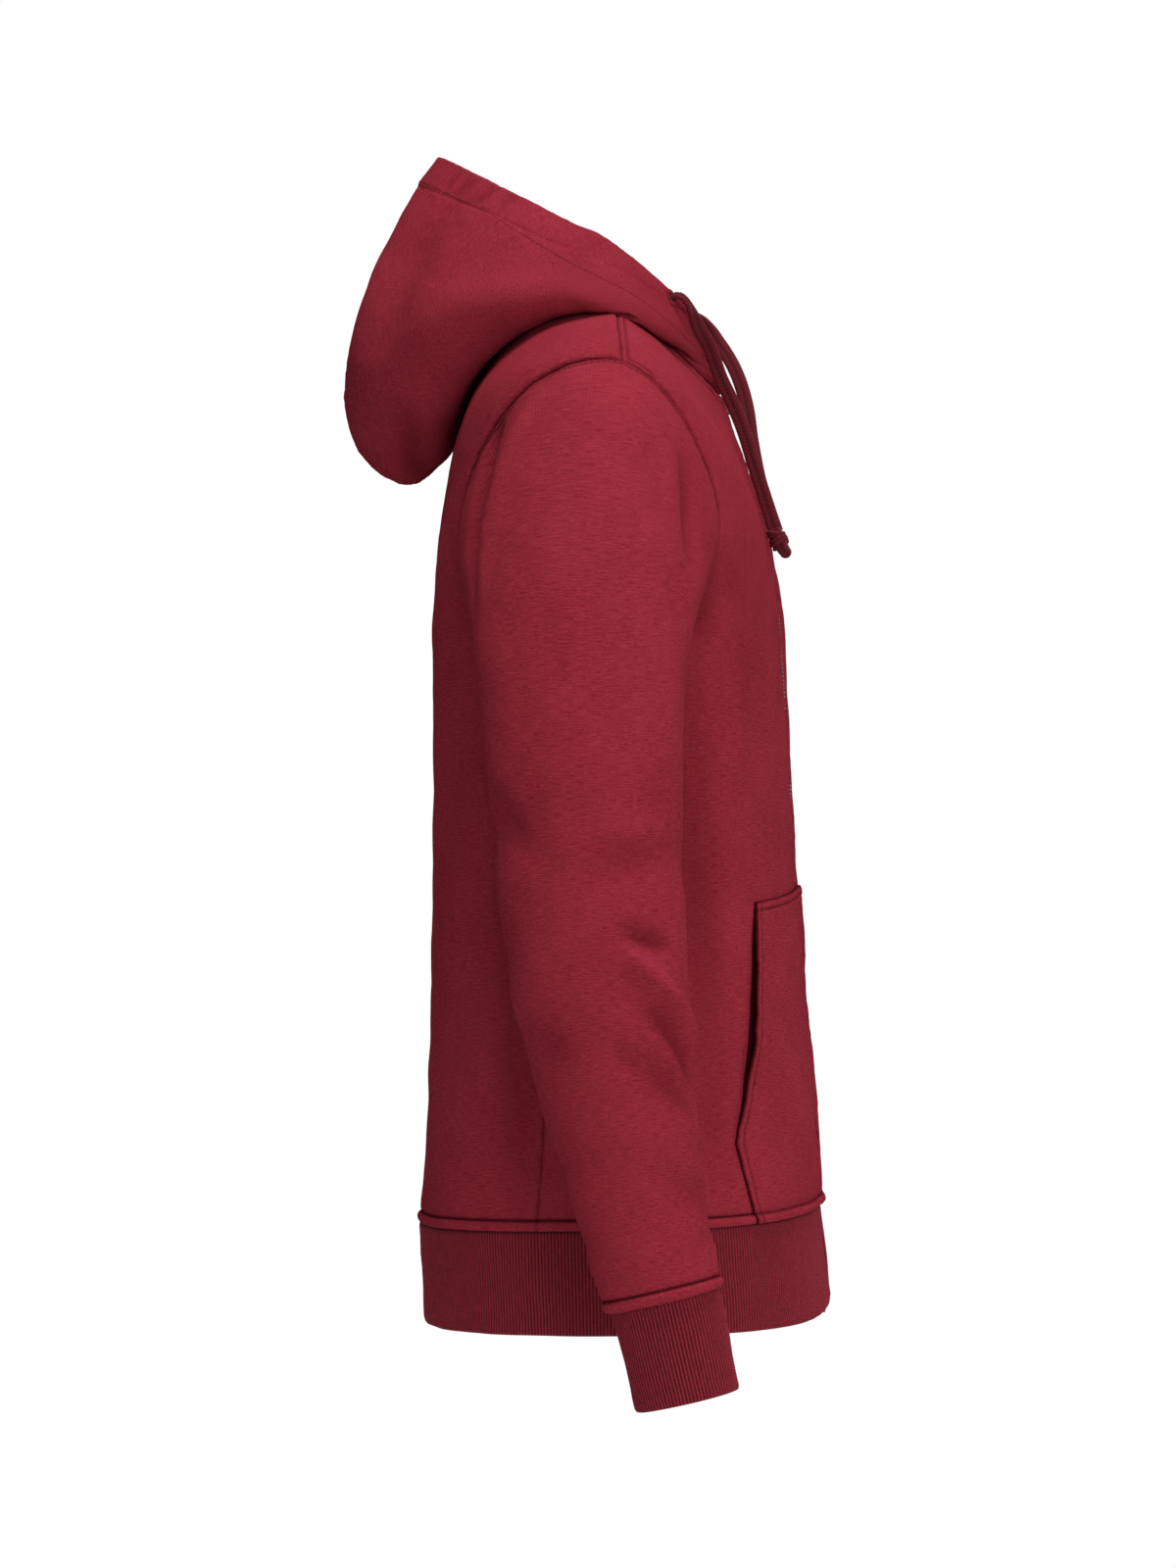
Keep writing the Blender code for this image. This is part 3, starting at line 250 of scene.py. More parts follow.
# A soft fold is a ridge (depth above 0) or a trough between two places of the cloth, each an
# angle round the piece and a distance along it.
Fold = namedtuple("Fold", "angle0 along0 angle1 along1 width depth")

FOLDS = {
    "torso": [
        Fold(118, 330, 150, 470, 24, -5.0),
        Fold(58, 300, 30, 390, 22, -1.6),
        Fold(53, 246, 56, 300, 12, -11.0),
        Fold(45, 290, 43, 400, 14, 3.0),
        Fold(62, 320, 57, 650, 18, -10.0),
        Fold(116, 400, 113, 660, 18, -7.0),
        Fold(100, 520, 140, 640, 28, 4.0),
        Fold(82, 400, 60, 540, 26, -3.5),
        Fold(160, 180, 172, 420, 30, -3.0),
        Fold(112, 330, 124, 400, 9, -3.0),
        Fold(106, 340, 96, 420, 10, -2.5),
        Fold(130, 300, 150, 350, 12, 2.4),
        Fold(40, 560, 20, 650, 16, 1.8),
    ],
    "hood": [
        Fold(158, 400, 152, 262, 18, 3.6),
        Fold(134, 394, 138, 262, 16, -5.0),
        Fold(146, 206, 176, 172, 12, -9.0),
        Fold(96, 350, 66, 300, 13, -3.6),
        Fold(172, 390, 170, 270, 16, -3.6),
        Fold(118, 300, 100, 240, 12, 2.6),
        Fold(98, 198, 150, 194, 20, 5.0),
        Fold(84, 300, 60, 262, 9, 2.4),
        Fold(143, 404, 141, 423, 2.8, -1.8),
        Fold(137, 403, 134, 422, 2.8, -2.4),
        Fold(133, 409, 131, 423, 2.4, -1.6),
        Fold(127, 404, 122, 423, 2.8, -2.4),
        Fold(118, 408, 115, 423, 2.8, -1.6),
    ],
    "sleeve": [
        Fold(331, -134, 298, -46, 8.5, 5.0),
        Fold(315, -142, 286, -62, 9.5, -13.0),
        Fold(38, -122, 60, -76, 8.5, -6.5),
        Fold(28, -112, 46, -80, 8, 3.0),
        Fold(75, 128, 350, 78, 18, -4.0),
        Fold(4, 122, 78, 106, 16, -3.0),
        Fold(10, 98, 70, 100, 11, 2.6),
        Fold(24, 165, 54, 176, 6, -5.5),
        Fold(26, 180, 80, 238, 7, 11.0),
        Fold(36, 214, 76, 262, 6, -6.0),
        Fold(13, 244, 66, 284, 11, -7.0),
        Fold(30, 270, 84, 306, 8, 3.0),
        Fold(322, 186, 5, 256, 15, 3.6),
        Fold(300, 215, 330, 240, 14, -3.6),
        Fold(20, 320, 95, 345, 12, -3.4),
        Fold(60, 20, 20, 90, 20, 3.4),
        Fold(280, 60, 330, 110, 12, -3.0),
        Fold(350, 300, 60, 312, 9, -2.6),
        Fold(310, 352, 30, 366, 7, -2.4),
    ],
}
FOLD_STEPS = 15
FOLD_END = 0.06  # a fold's depth along its run is a half wave, less this share at both ends,
FOLD_FULL = 0.7  # raised to this power
FOLD_DRIFT = 90  # the size of the bends that keep a fold from running straight
FOLD_DRIFTS = (6.0, 2.0)  # how far they go on the left and on the right

NOISE_WAVES = 16
NOISE_SIZES = (0.55, 1.45)  # the waves' pitches, against the usual one

# Unevenness of soft cloth: height, size of its features, seed.
RUMPLES = ((0.6, 95, 1), (0.36, 42, 2), (0.14, 17, 3))
SEAM_PUCKERS = ((1.0, 13, 5), (0.6, 7, 6))
CASING_PUCKERS = ((1.0, 15, 8), (0.7, 26, 9))
BODY_RUMPLES_OVER = 60.0  # they grow to their full height over this
RIB_WAVES_OVER = 14.0

Route = namedtuple("Route", "x y z")

CORD_RIGHT = [
    Route(-78.4, -36.1, 17.1), Route(-79.5, -38.6, 18.2), Route(-79.2, -42.4, 17.6),
    Route(-76, -45.8, 14.6), Route(-70.5, -48.2, 10.2), Route(-64, -50.4, 5),
    Route(-57, -53.6, -2), Route(-50.5, -58.2, -10.5), Route(-45, -62.8, -22),
    Route(-41, -67.4, -35), Route(-38, -74.4, -50), Route(-35.5, -82.6, -70),
    Route(-33.5, -90.2, -95), Route(-32, -97, -116), Route(-31, -103.5, -137),
]
CORD_LEFT = [
    Route(78.4, -36.1, 17.1), Route(79.5, -38.6, 18.2), Route(79.3, -42.6, 18),
    Route(76.3, -46.8, 15.8), Route(71, -51, 11.6), Route(64.8, -55.4, 5.8),
    Route(58.5, -60, -1.5), Route(52.5, -66, -10.5), Route(47, -72.2, -21.5),
    Route(42, -77.6, -35), Route(37.5, -82, -52), Route(33.5, -85.2, -74),
    Route(30, -90.4, -100), Route(28.2, -96.4, -119), Route(27, -102.5, -137),
]
EYELET_OUT = np.array([0.38, -0.86, 0.34])  # away from the hood, on the wearer's left

# ---------------------------------------------------------------- colours
RED = (0.29, 0.0215, 0.036, 1.0)
RED_LIGHT = (0.39, 0.038, 0.059, 1.0)
RED_DARK = (0.19, 0.0118, 0.0215, 1.0)
# RED_DEEP: the painted shade in the folds' troughs, and the dark of the thread's twist
RED_DEEP = (0.1, 0.006, 0.011, 1.0)
# painted shade along seams, grooves and ridges, and inside the pockets
RED_PAINTED_SHADE = (0.045, 0.003, 0.006, 1.0)
TAPE_LIGHT = (0.17, 0.012, 0.022, 1.0)
TAPE_DARK = (0.07, 0.005, 0.01, 1.0)
COIL_LIGHT = (0.13, 0.011, 0.02, 1.0)
COIL_DARK = (0.06, 0.004, 0.008, 1.0)
# painted shadow inside the eyelets' holes
HOLE_LIGHT = (0.03, 0.003, 0.005, 1.0)
HOLE_DARK = (0.012, 0.001, 0.002, 1.0)
NICKEL_LIGHT = (0.46, 0.46, 0.48, 1.0)
NICKEL_DARK = (0.14, 0.14, 0.15, 1.0)
NICKEL_WORN = (0.04, 0.04, 0.045, 1.0)
FLOOR_LIGHT = (0.9, 0.9, 0.9, 1.0)
FLOOR_DARK = (0.86, 0.86, 0.86, 1.0)
RIB_LIGHT = (0.31, 0.023, 0.039, 1.0)
# painted shade in the rib valleys
RIB_VALLEY_SHADE = (0.035, 0.0025, 0.004, 1.0)
CORD_LIGHT = (0.17, 0.0115, 0.02, 1.0)
# painted shade in the braid's groove and between its plaits
CORD_GROOVE_SHADE = (0.03, 0.002, 0.0038, 1.0)
SHEEN_TINT = (1.0, 0.3, 0.36, 1.0)


# ---------------------------------------------------------------- smooth tables and surfaces
def column(rows, name):
    return np.array([getattr(row, name) for row in rows], float)


def spread(first, second):
    """Two sets of numbers brought to one shape."""
    return np.broadcast_arrays(np.asarray(first, float), np.asarray(second, float))


def bridge(start, end, leave, arrive, t):
    """Points of a curve from start (t = 0) to end (t = 1) with the slopes leave and arrive."""
    return (
        start * (1 + 2 * t) * (1 - t) ** 2
        + end * t * t * (3 - 2 * t)
        + leave * t * (1 - t) ** 2
        - arrive * t * t * (1 - t)
    )


def quarter_round(share):
    """The height of a rounded edge at a share of the way in, as a share of the full height."""
    return np.sqrt(1 - (1 - share) ** 2)


def spline(xs, ys, x):
    """A smooth curve through points, with slopes from the neighbours. ys may hold rows of points."""
    xs, ys, x = np.asarray(xs, float), np.asarray(ys, float), np.asarray(x, float)
    slopes = np.gradient(ys, xs, axis=0)
    i = np.clip(np.searchsorted(xs, x, side="right") - 1, 0, len(xs) - 2)
    gap = xs[i + 1] - xs[i]
    t = (x - xs[i]) / gap
    if ys.ndim > 1:
        gap, t = (a.reshape(-1, *[1] * (ys.ndim - 1)) for a in (gap, t))
    return bridge(ys[i], ys[i + 1], gap * slopes[i], gap * slopes[i + 1], t)


def ring_surface(rows):
    """A function of (angle, distance) that gives points of the cloth that the rings describe."""
    key = column(rows, rows[0]._fields[1])

    def point(angle, down):
        angle, down = spread(angle, down)
        at = {name: spline(key, column(rows, name), down) for name in rows[0]._fields[2:]}
        sine, cosine = np.sin(np.radians(angle)), np.cos(np.radians(angle))
        square = at["square"]
        reach = (np.abs(sine) ** square + np.abs(cosine) ** square) ** (-1 / square)
        ahead = cosine > 0
        y_end = np.where(ahead, at["y_front"], at["y_back"])
        z_end = np.where(ahead, at["z_front"], at["z_back"])
        bow = np.where(ahead, at["bow_front"], at["bow_back"])
        x = -at["half_width"] * reach * sine
        y = at["y_side"] + (y_end - at["y_side"]) * reach * np.abs(cosine)
        z = at["z_side"] + (z_end - at["z_side"]) * np.abs(cosine) ** bow
        return np.stack([x, y, z], axis=-1)

    return point


torso = ring_surface(TORSO)
hem_band = ring_surface(HEM)
hood = ring_surface(HOOD)


def unit(vectors):
    return vectors / np.maximum(np.linalg.norm(vectors, axis=-1, keepdims=True), 1e-9)


def outward(surface, angle, down):
    across = surface(angle + SLOPE_TURN, down) - surface(angle - SLOPE_TURN, down)
    along = surface(angle, down + SLOPE_DOWN) - surface(angle, down - SLOPE_DOWN)
    return unit(np.cross(across, along))


def paced(low, high, step=GRAIN, close=EDGE_STEPS):
    """Numbers from low to high, a step apart, and closer together near both."""
    ends = np.array(close, float)
    count = max(2, round((high - low - 2 * ends[-1]) / step) + 1)
    return np.unique(np.concatenate([
        low + ends, np.linspace(low + ends[-1], high - ends[-1], count), high - ends]))


def soft_noise(points, size, seed):
    """A soft uneven field, mostly between -1 and 1, with features of that size in millimetres."""
    random = np.random.default_rng(seed)
    ways = unit(random.normal(size=(NOISE_WAVES, 3))) * random.uniform(*NOISE_SIZES, (NOISE_WAVES, 1))
    starts = random.uniform(0, 2 * np.pi, NOISE_WAVES)
    return np.sin(points @ (ways * 2 * np.pi / size).T + starts).sum(axis=-1) / np.sqrt(NOISE_WAVES)


def uneven(points, layers):
    """Layers of soft noise, each with its height, the size of its features and its seed."""
    return sum(height * soft_noise(points, size, seed) for height, size, seed in layers)


def arc_lengths(line):
    steps = np.linalg.norm(np.diff(line, axis=0), axis=-1)
    return np.concatenate([[0], np.cumsum(steps)])


def between(at, length, rows):
    """Points or directions at distances down a line that has one in each row."""
    return np.stack([np.interp(at, length, rows[:, k]) for k in range(3)], axis=-1)


def evenly(line, spacing):
    """Points along a line, that far apart."""
    length = arc_lengths(line)
    at = np.linspace(0, length[-1], max(2, round(length[-1] / spacing) + 1))
    return between(at, length, line)


def near(points, line):
    """Distances from points to a line."""
    places = evenly(line, FINE_STEP)
    tree = kdtree.KDTree(len(places))
    for i, place in enumerate(places):
        tree.insert(place, i)
    tree.balance()
    flat = points.reshape(-1, 3)
    return np.array([tree.find(p)[2] for p in flat]).reshape(points.shape[:-1])


def rise(distance, over):
    """Grows from 0 to 1 while a distance grows from none to over."""
    return np.clip(distance / over, 0, 1)


def bump(distance, width):
    return np.exp(-((distance / width) ** 2))


def folds_of(piece, surface, points):
    """How far the folds of a piece push its points out, and how much painted shade darkens their troughs.
    Each fold lies on both sides of the garment."""
    on_left = points[..., :1] > 0
    drift = soft_noise(points, FOLD_DRIFT, 11)[..., None] * np.where(on_left, *FOLD_DRIFTS)
    near_right = points * np.where(on_left, [-1, 1, 1], [1, 1, 1]) + drift
    lift = np.zeros(points.shape[:-1])
    shade = np.zeros(points.shape[:-1])
    for fold in FOLDS[piece]:
        length = np.linalg.norm(
            surface(fold.angle0, fold.along0) - surface(fold.angle1, fold.along1))
        run = np.linspace(0, 1, max(FOLD_STEPS, int(length / fold.width * 3)))
        line = surface(
            fold.angle0 + (fold.angle1 - fold.angle0) * run,
            fold.along0 + (fold.along1 - fold.along0) * run,
        )
        wave = np.sin(np.pi * (FOLD_END + (1 - 2 * FOLD_END) * run)) ** FOLD_FULL
        share = np.zeros(points.shape[:-1])
        for place, full in zip(line, wave):
            away = np.linalg.norm(near_right - place, axis=-1)
            share = np.maximum(share, full * bump(away, fold.width))
        lift += fold.depth * share
        # painted shade: steep, narrow troughs get the darkest colour
        shade += max(0.0, -fold.depth / fold.width) * share
    return lift, shade


# ---------------------------------------------------------------- materials
class Shade:
    """A socket in a material's sums. An operator on it adds a Math node."""

    def __init__(self, finish, socket):
        self.finish = finish
        self.socket = socket

    def math(self, operation, *others):
        return self.finish.node("Math", {"operation": operation}, [self, *others])

    def __add__(self, other):
        return self.math("ADD", other)

    def __sub__(self, other):
        return self.math("SUBTRACT", other)

    def __mul__(self, other):
        return self.math("MULTIPLY", other)

    def __rsub__(self, other):
        return self.finish.node("Math", {"operation": "SUBTRACT"}, [other, self])

    __radd__ = __add__
    __rmul__ = __mul__

    def wave(self, length):
        return (self * (2 * np.pi / length)).math("SINE")

    def swing(self, amount):
        """A noise's swing about its middle."""
        return (self - 0.5) * amount

    def clipped(self):
        return self.finish.node("Math", {"operation": "ADD", "use_clamp": True}, [self, 0.0])


class Finish:
    """A material that is built from nodes around its Principled shader."""

    def __init__(self, name, **constants):
        self.material = bpy.data.materials.new(name)
        self.material.use_nodes = True
        self.tree = self.material.node_tree
        self.shader = self.tree.nodes["Principled BSDF"]
        for words, value in constants.items():
            self.shader.inputs[words.replace("_", " ")].default_value = value

    def node(self, kind, settings, values, out=0):
        """Adds a node. values is a list for its first sockets, or a dict from sockets to values."""
        made = self.tree.nodes.new("ShaderNode" + kind)
        for name, value in settings.items():
            setattr(made, name, value)
        places = values.items() if isinstance(values, dict) else enumerate(values)
        for place, value in places:
            self.put(made.inputs[place], value)
        return Shade(self, made.outputs[out])

    def put(self, socket, value):
        if isinstance(value, Shade):
            self.tree.links.new(value.socket, socket)
        else:
            socket.default_value = value

    def mix(self, first, second, share):
        return self.node("Mix", {"data_type": "RGBA"}, {0: share, 6: first, 7: second}, out=2)

    def cloth(self):
        """Distances in millimetres across and down the cloth."""
        place = self.node("UVMap", {"uv_map": "cloth"}, [])
        return (self.node("SeparateXYZ", {}, [place], out=k) for k in (0, 1))

    def solid(self):
        """The place in space, in metres."""
        return self.node("TexCoord", {}, [], out=3)

    def at(self, x, y, z=0.0):
        return self.node("CombineXYZ", {}, [x, y, z])

    def noise(self, place, scale, detail=2.0, rough=0.5):
        values = {"Vector": place, "Scale": scale, "Detail": detail, "Roughness": rough}
        return self.node("TexNoise", {}, values)

    def speckle(self, scale, detail=2.0, rough=0.5):
        """A noise in space."""
        return self.noise(self.solid(), scale, detail, rough)

    def attribute(self, name):
        return self.node("Attribute", {"attribute_name": name}, [], out=2)

    def wear(self, colour=None, roughness=None, height=None, distance=0.001, strength=1.0):
        """Feeds the shader."""
        if colour is not None:
            self.put(self.shader.inputs["Base Color"], colour)
        if roughness is not None:
            self.put(self.shader.inputs["Roughness"], roughness)
        if height is not None:
            values = {"Strength": strength, "Distance": distance, "Height": height}
            self.put(self.shader.inputs["Normal"], self.node("Bump", {}, values))
        return self.material


def fleece_face():
    """The smooth jersey face of brushed fleece: crosswise heather and a fine pile."""
    made = Finish("fleece_face", Specular_IOR_Level=0.0, Sheen_Weight=0.02, Sheen_Roughness=0.5,
                  Sheen_Tint=SHEEN_TINT)
    across, down = made.cloth()
    heather = made.noise(made.at(across * 0.12, down * 1.25), 1.0, 1.0, 0.5)
    fine = made.noise(made.at(across * 0.38, down * 2.6), 1.0, 2.0, 0.6)
    broad = made.speckle(16.0, 2.0)
    tone = heather.swing(1.2) + fine.swing(1.7) + broad.swing(0.5) + 0.5
    red = made.mix(RED_DARK, RED_LIGHT, tone.clipped())
    # painted shade in the folds' troughs
    red = made.mix(red, RED_DEEP, made.attribute("painted_fold_shade") * 0.55)
    # painted shade along seams, grooves and ridges, and inside the pocket
    red = made.mix(red, RED_PAINTED_SHADE, made.attribute("seam"))
    pile = made.speckle(1400.0, 3.0, 0.7)
    wale = across.wave(1.15) * 0.25
    course = down.wave(0.95) * 0.3
    height = pile * 0.45 + wale + course + fine * 1.1
    return made.wear(red, 0.86 + fine.swing(0.2), height, 0.0006, 0.55)


def fleece_back():
    """The brushed, woolly inside."""
    made = Finish("fleece_back", Specular_IOR_Level=0.1, Sheen_Weight=0.12, Sheen_Roughness=0.6,
                  Sheen_Tint=SHEEN_TINT)
    tufts = made.speckle(420.0, 4.0, 0.7)
    broad = made.speckle(30.0, 2.0)
    red = made.mix(RED_DARK, RED, (tufts.swing(2.2) + broad).clipped())
    return made.wear(red, 0.95 + tufts.swing(0.1), tufts, 0.0016, 0.8)


def rib_knit():
    """Rib knit: crowns, painted shade in the valleys between them, and fine stitches along each rib."""
    made = Finish("rib_knit_face", Specular_IOR_Level=0.12, Sheen_Weight=0.05, Sheen_Tint=SHEEN_TINT)
    across, down = made.cloth()
    crown = made.attribute("crown")
    streak = made.noise(made.at(across * 0.9, down * 0.12), 1.0, 2.0, 0.6)
    fine = made.speckle(900.0, 3.0, 0.65)
    tone = crown * 0.75 + streak.swing(0.5) + fine.swing(0.8) + 0.1
    # painted shade in the valleys between the ribs
    red = made.mix(RIB_VALLEY_SHADE, RIB_LIGHT, tone.clipped())
    # painted shadow at the band's top, under the ridge over it
    red = made.mix(red, RED_PAINTED_SHADE, (made.attribute("seam") * 0.8).clipped())
    loops = down.wave(1.3) * 0.4
    return made.wear(red, 0.9 + fine.swing(0.15), loops + fine, 0.0005, 0.5)


def braid():
    """Flat braided cord, with painted shade in its middle groove and between its plaits."""
    made = Finish("braid", Specular_IOR_Level=0.16, Sheen_Weight=0.05, Sheen_Tint=SHEEN_TINT)
    crown = made.attribute("crown")
    fine = made.speckle(1500.0, 2.0, 0.6)
    # painted shade in the braid's groove and between its plaits
    red = made.mix(CORD_GROOVE_SHADE, CORD_LIGHT, (crown * 1.1 + fine.swing(0.8)).clipped())
    return made.wear(red, 0.8 + fine.swing(0.2), fine, 0.0004, 0.5)


def sewing_thread():
    made = Finish("sewing_thread", Specular_IOR_Level=0.1)
    twist = made.speckle(2600.0, 1.0)
    red = made.mix(RED_DEEP, RED, (twist * 1.4 - 0.1).clipped())
    return made.wear(red, 0.8 + twist.swing(0.2), twist, 0.0002, 0.6)


# a dark material of painted shadow for the eyelets' holes
def painted_hole_shadow():
    made = Finish("eyelet_shadow")
    speck = made.speckle(900.0)
    return made.wear(made.mix(HOLE_DARK, HOLE_LIGHT, speck), 0.95)


def woven_tape():
    made = Finish("woven_tape", Specular_IOR_Level=0.25)
    warp = made.speckle(1800.0, 2.0, 0.6)
    broad = made.speckle(200.0)
    red = made.mix(TAPE_DARK, TAPE_LIGHT, (warp.swing(1.6) + broad).clipped())
    return made.wear(red, 0.75 + warp.swing(0.3), warp, 0.0003, 0.7)


def nylon_coil():
    made = Finish("nylon_coil", Specular_IOR_Level=0.5)
    speck = made.speckle(700.0)
    red = made.mix(COIL_DARK, COIL_LIGHT, speck)
    return made.wear(red, 0.38 + speck.swing(0.2), speck, 0.0001, 0.3)


def brushed_nickel():
    made = Finish("brushed_nickel", Metallic=1.0)
    brushed = made.node("Mapping", {}, {"Vector": made.solid(), "Scale": (9.0, 9.0, 0.6)})
    scratch = made.noise(brushed, 900.0, 3.0)
    worn = made.speckle(500.0, 2.0)
    nickel = made.mix(NICKEL_DARK, NICKEL_LIGHT, scratch)
    nickel = made.mix(nickel, NICKEL_WORN, ((worn - 0.54) * 5.0).clipped())
    return made.wear(nickel, 0.22 + worn * 0.25, scratch, 0.0001, 0.35)


def pale_floor():
    made = Finish("pale_floor", Specular_IOR_Level=0.1)
    speck = made.speckle(30.0)
    return made.wear(made.mix(FLOOR_DARK, FLOOR_LIGHT, speck), 0.9 + speck * 0.05)


# The finishes of a sewn panel.
Cloth = namedtuple("Cloth", "face back thread")


# ---------------------------------------------------------------- meshes
def signed_volume(points, faces):
    total = 0.0
    for face in faces:
        corners = points[face]
        for k in range(1, face.shape[1] - 1):
            a, b, c = corners[:, 0], corners[:, k], corners[:, k + 1]
            total += np.einsum("ij,ij->i", a, np.cross(b, c)).sum()
    return total


def add_object(name, data):
    made = bpy.data.objects.new(name, data)
    bpy.context.scene.collection.objects.link(made)
    return made


def add_mesh(name, points, groups, finishes, place=None, fields=None, around=0.0):
    """A piece of the garment. groups holds arrays of faces, each with the number of its finish.
    place is the cloth's own flat map, and around its width where it meets itself."""
    faces = [face for group, _ in groups for face in group.tolist()]
    mesh = bpy.data.meshes.new(name)
    mesh.from_pydata(points * MM, [], faces)
    for finish in finishes:
        mesh.materials.append(finish)
    which = np.concatenate([np.full(len(group), number) for group, number in groups])
    mesh.polygons.foreach_set("material_index", which.astype(np.int32))
    corner = np.empty(len(mesh.loops), np.int32)
    mesh.loops.foreach_get("vertex_index", corner)
    if place is not None:
        sizes = [len(face) for face in faces]
        starts = np.concatenate([[0], np.cumsum(sizes)[:-1]])
        flat = place[corner]
        highest = np.repeat(np.maximum.reduceat(flat[:, 0], starts), sizes)
        flat[:, 0] += around * (highest - flat[:, 0] > around / 2)
        layer = mesh.uv_layers.new(name="cloth")
        layer.data.foreach_set("uv", flat.astype(np.float32).ravel())
    for field, values in (fields or {}).items():
        layer = mesh.attributes.new(field, "FLOAT", "POINT")
        layer.data.foreach_set("value", values.astype(np.float32))
    if signed_volume(points, [group for group, _ in groups]) < 0:
        mesh.flip_normals()
    mesh.shade_smooth()
    made = add_object(name, mesh)
    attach(made, "garment")
    return made


def looped(line, closed):
    """A line of point numbers, with its first again at the end of a closed one."""
    return np.append(line, line[0]) if closed else line


def strip(first, second, closed=False):
    """Faces between two lines of point numbers."""
    first, second = looped(first, closed), looped(second, closed)
    return np.stack([first[:-1], first[1:], second[1:], second[:-1]], axis=1)


def grid_faces(numbers, closed=False):
    """Faces of a grid of point numbers, whose last column meets its first in a closed one."""
    if closed:
        numbers = np.concatenate([numbers, numbers[:, :1]], axis=1)
    a, b = numbers[:-1, :-1], numbers[:-1, 1:]
    c, d = numbers[1:, 1:], numbers[1:, :-1]
    return np.stack([a, b, c, d], axis=-1).reshape(-1, 4)


class Shell:
    """A piece of cloth with a round edge: a middle surface, its outward directions, and lifts."""

    def __init__(self, middle, out, across, down, thick, tube=False):
        self.middle, self.out, self.thick, self.tube = middle, out, thick, tube
        self.place = np.stack(np.broadcast_arrays(across, down), axis=-1).reshape(-1, 2)
        self.lift = np.zeros(middle.shape[:2])
        self.raised = np.zeros(middle.shape[:2])
        # painted shade: seam holds the darkening along seams, grooves and ridges and inside the pockets;
        # the fold field holds it in the folds' troughs
        self.seam = np.zeros(middle.shape[:2])
        self.painted_fold_shade = np.zeros(middle.shape[:2])
        self.full = np.ones(middle.shape[:2])

    def line(self, edge):
        grid = self.middle
        found = {"top": grid[0], "foot": grid[-1], "start": grid[:, 0], "end": grid[:, -1]}[edge]
        return np.concatenate([found, found[:1]]) if self.tube else found

    def fold(self, piece, surface, keep=1.0):
        lift, shade = folds_of(piece, surface, self.middle)
        self.lift += lift * keep
        self.painted_fold_shade += shade

    def sew(self, edge, sink=1.3, stitch=0.0, pucker=0.35, dark=1.0):
        """A seam at an edge: the cloth turns in there, with painted shade along it, and is drawn down
        along its topstitches. sink and dark, the strength of that painted shade, may hold a value for
        each row."""
        away = near(self.middle, self.line(edge))
        self.round_off(away)
        self.groove(away, sink, SEAM_WIDE, dark, SEAM_SHADE_WIDE)
        self.lift += pucker * uneven(self.middle, SEAM_PUCKERS) * bump(away, PUCKERS_REACH)
        self.lift += SWELL_HIGH * bump(away - SWELL_OFF, SWELL_WIDE)
        if stitch:
            self.groove(away - stitch, *STITCH_GROOVE)
        return away

    def groove(self, away, deep, wide, dark, dark_wide):
        """Draws the cloth down along a line, and paints shade along it there."""
        self.lift -= deep * bump(away, wide)
        self.seam += dark * bump(away, dark_wide)

    def finish_edge(self, edge):
        self.round_off(near(self.middle, self.line(edge)))

    def round_off(self, away):
        share = np.clip(away / (self.thick / 2), 0.02, 1)
        self.full = np.minimum(self.full, quarter_round(share))

    def outer(self):
        return self.middle + self.out * (self.lift + self.raised + self.full * self.thick / 2)[..., None]

    def inner(self):
        return self.middle + self.out * (self.lift - self.full * self.thick / 2)[..., None]

    def ridge(self, up):
        """The folded seam allowance over a rib band, and the painted shadow line above it. up is how far
        each row lies above the panel's foot."""
        self.raised += ridge_raise(up)
        self.lift -= 0.9 * bump(up - RIDGE_TALL - 0.4, 1.2)
        self.seam += bump(up - RIDGE_TALL - 0.2, 0.9)

    def make(self, name, node, cloth, cut, rests_on):
        """The piece of cloth that stands for a node."""
        rows, columns = self.middle.shape[:2]
        front = np.arange(rows * columns).reshape(rows, columns)
        back = front + rows * columns
        borders = [strip(front[0], back[0], self.tube)[:, ::-1], strip(front[-1], back[-1], self.tube)]
        if not self.tube:
            borders += [strip(front[:, 0], back[:, 0]), strip(front[:, -1], back[:, -1])[:, ::-1]]
        groups = [(grid_faces(front, self.tube), 0), (grid_faces(back, self.tube)[:, ::-1], 1)]
        groups += [(border, 0) for border in borders]
        points = np.concatenate([self.outer().reshape(-1, 3), self.inner().reshape(-1, 3)])
        fields = {field: np.tile(np.clip(values, 0, 1).ravel(), 2)
                  for field, values in (("seam", self.seam), ("painted_fold_shade", self.painted_fold_shade))}
        place = np.tile(self.place, (2, 1))
        made = add_mesh(name, points, groups, [cloth.face, cloth.back], place, fields,
                        360.0 * self.tube)
        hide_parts(node)

    def stitch_line(self, edge, distance, keep=slice(None)):
        """Points and outward directions on the outer face, at that distance from an edge."""
        points, out = self.outer(), self.out
        if edge in ("top", "foot"):
            points, out = points.swapaxes(0, 1), out.swapaxes(0, 1)
        if edge in ("foot", "end"):
            points, out = points[:, ::-1], out[:, ::-1]
        found = []
        distances = np.broadcast_to(distance, points.shape[:1])
        for line, ways, away in zip(points[keep], out[keep], distances[keep]):
            at = np.interp(away, arc_lengths(line), np.arange(len(line)))
            low = min(int(at), len(line) - 2)
            share = at - low
            found.append(np.concatenate([
                line[low] * (1 - share) + line[low + 1] * share,
                ways[low] * (1 - share) + ways[low + 1] * share,
            ]))
        found = np.array(found)
        if self.tube:
            found = np.concatenate([found, found[:1]])
        return found[:, :3], unit(found[:, 3:])


def mirrored(points, side):
    """The same points on the wearer's right (side -1) or left (side 1)."""
    return points * np.array([-side, 1, 1])


# Rings of a small rounded bar: place along its length, and share of its thickness.
BAR_RINGS = ((-0.5, 0.3), (-0.42, 0.82), (-0.2, 1.0), (0.2, 1.0), (0.42, 0.82), (0.5, 0.3))
BAR_SIDES = 6


